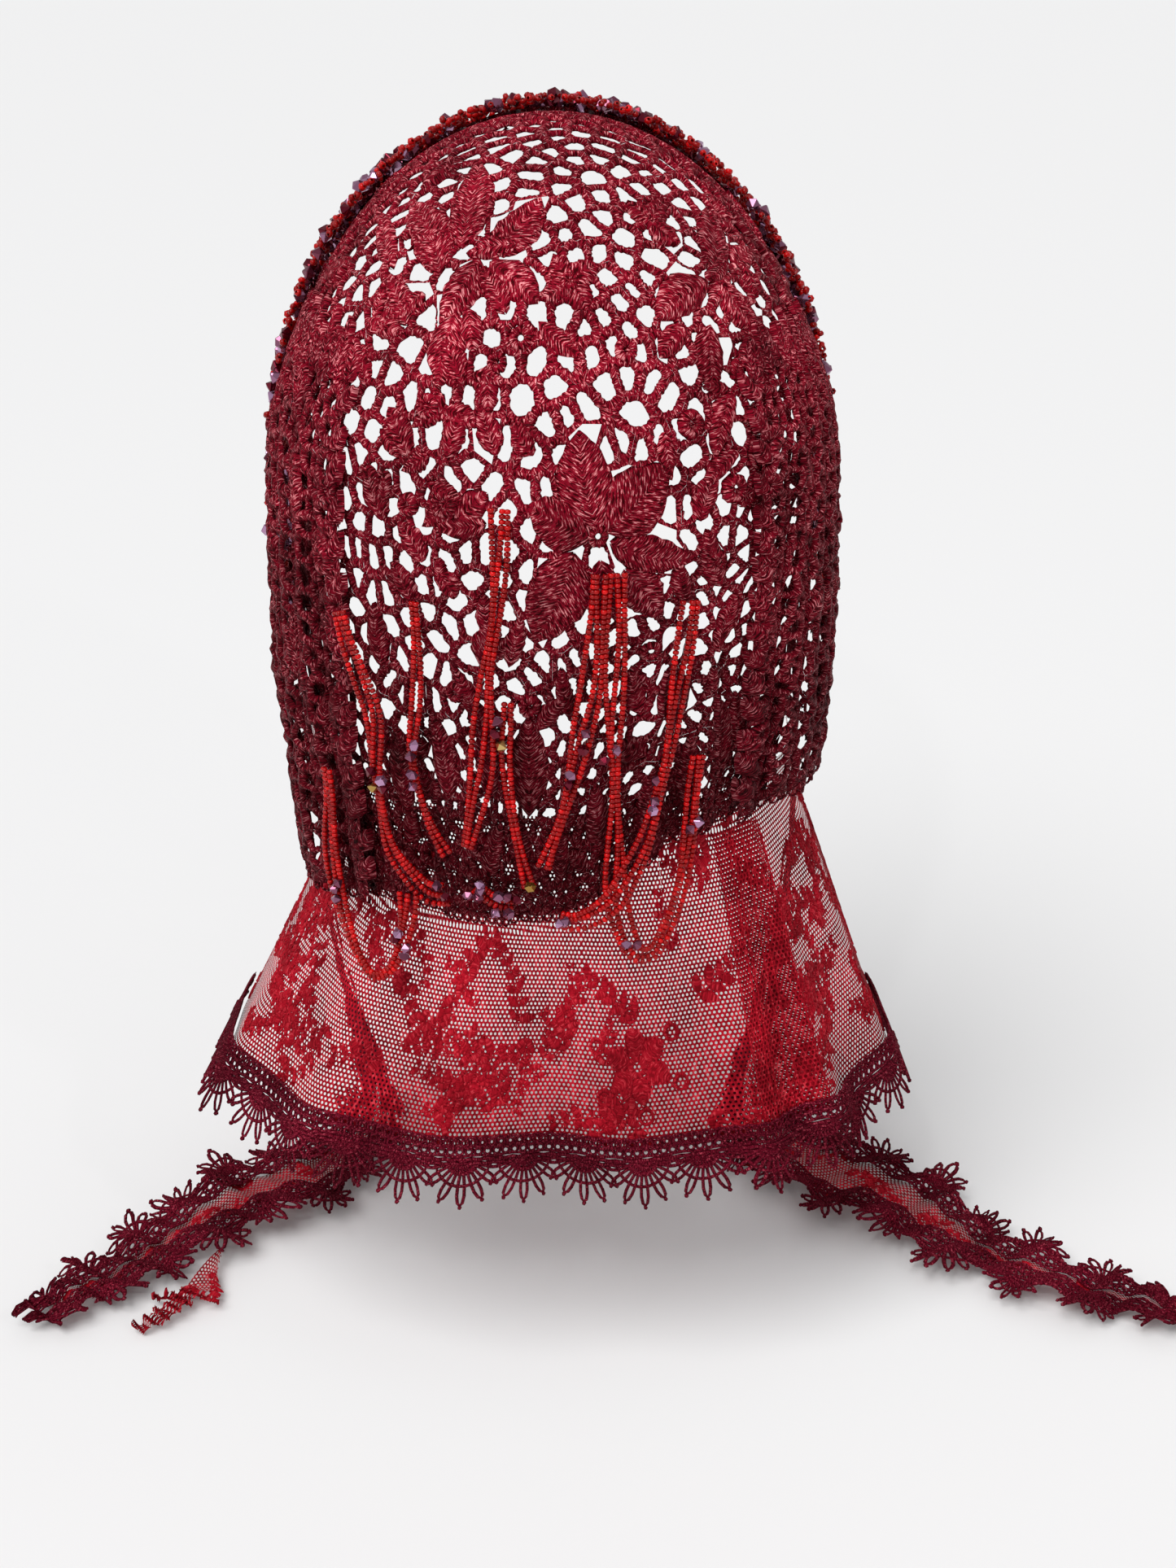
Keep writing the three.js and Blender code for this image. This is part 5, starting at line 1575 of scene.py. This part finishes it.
# %% [markdown]
# ## Crystals on the swags
#
# Small groups of faceted crystals sit on the swags where their strings are knotted together,
# with a gold one here and there. Each is given by its swag, its share of the way along it and
# the millimetres to one side.

# %% Hang the crystals
SWAG_CRYSTALS = {
    "swag_1": [(0.385, -0.4), (0.417, -0.2), (0.361, -3), (0.868, -1.4), (0.845, -2), (0.835, 3),
               (0.811, 3)],
    "swag_2": [(0.488, 0.8), (0.51, -2.9), (0.532, -3.5), (0.97, -4), (0.99, 0.3)],
    "swag_3": [(0.537, -1.1), (0.585, 0), (0.656, 0.4), (0.703, 0.9)],
    "swag_5": [(0.095, 2.4), (0.157, 3.2)],
    "swag_6": [(0, -2.8), (0.1, -1.1), (0.2, 1.5), (0.02, 3.3), (0.54, -3.5), (0.79, -4), (0.98, -3.5),
               (0.63, 2.7), (0.87, 1.8)],
    "swag_7": [(0.501, -0.9), (0.554, -1.2), (0.644, 1.1), (0.674, 0.8)],
    "swag_8": [(0.294, 3.2), (0.278, -0.6), (0.607, 1), (0.615, -2.1), (0.872, -1.1), (0.882, 1.8)],
    "swag_9": [(0.98, 0.2), (0.995, -1), (0.481, 3), (0.536, 1.5), (0.561, 1.3)],
}
SWAG_GOLD = {"swag_2": [(0.54, 0.7)], "swag_5": [(0.219, 1.2), (0.98, -1.1)]}
for name, table, paint in (
    ("swag_crystals", SWAG_CRYSTALS, garnet_glass), ("swag_gold_beads", SWAG_GOLD, gold_glass),
):
    places = []
    for swag, spots in table.items():
        curve, length = through([swag_spot(*stop) for stop in SWAGS[swag][1]])
        for share, aside in spots:
            at = np.clip(share, 0.005, 0.995) * length[-1]
            here, ahead = along_curve(curve, length, np.array((at, at + 0.5)))
            outward = here * (1, 1, 0) / np.hypot(here[0], here[1])
            beside = np.cross(ahead - here, outward)
            places.append(here + beside / max(np.linalg.norm(beside), 1e-6) * aside + outward * 1.6)
    places = np.array(places)
    turns = swag_random.normal(0, 1, (len(places), 3))
    sizes = swag_random.uniform(0.95, 1.15, len(places))
    add_piece(
        name, *string_of(crystal_shape, places, turns, sizes, swag_random), paint, "seed_beads",
        smooth=False,
    )
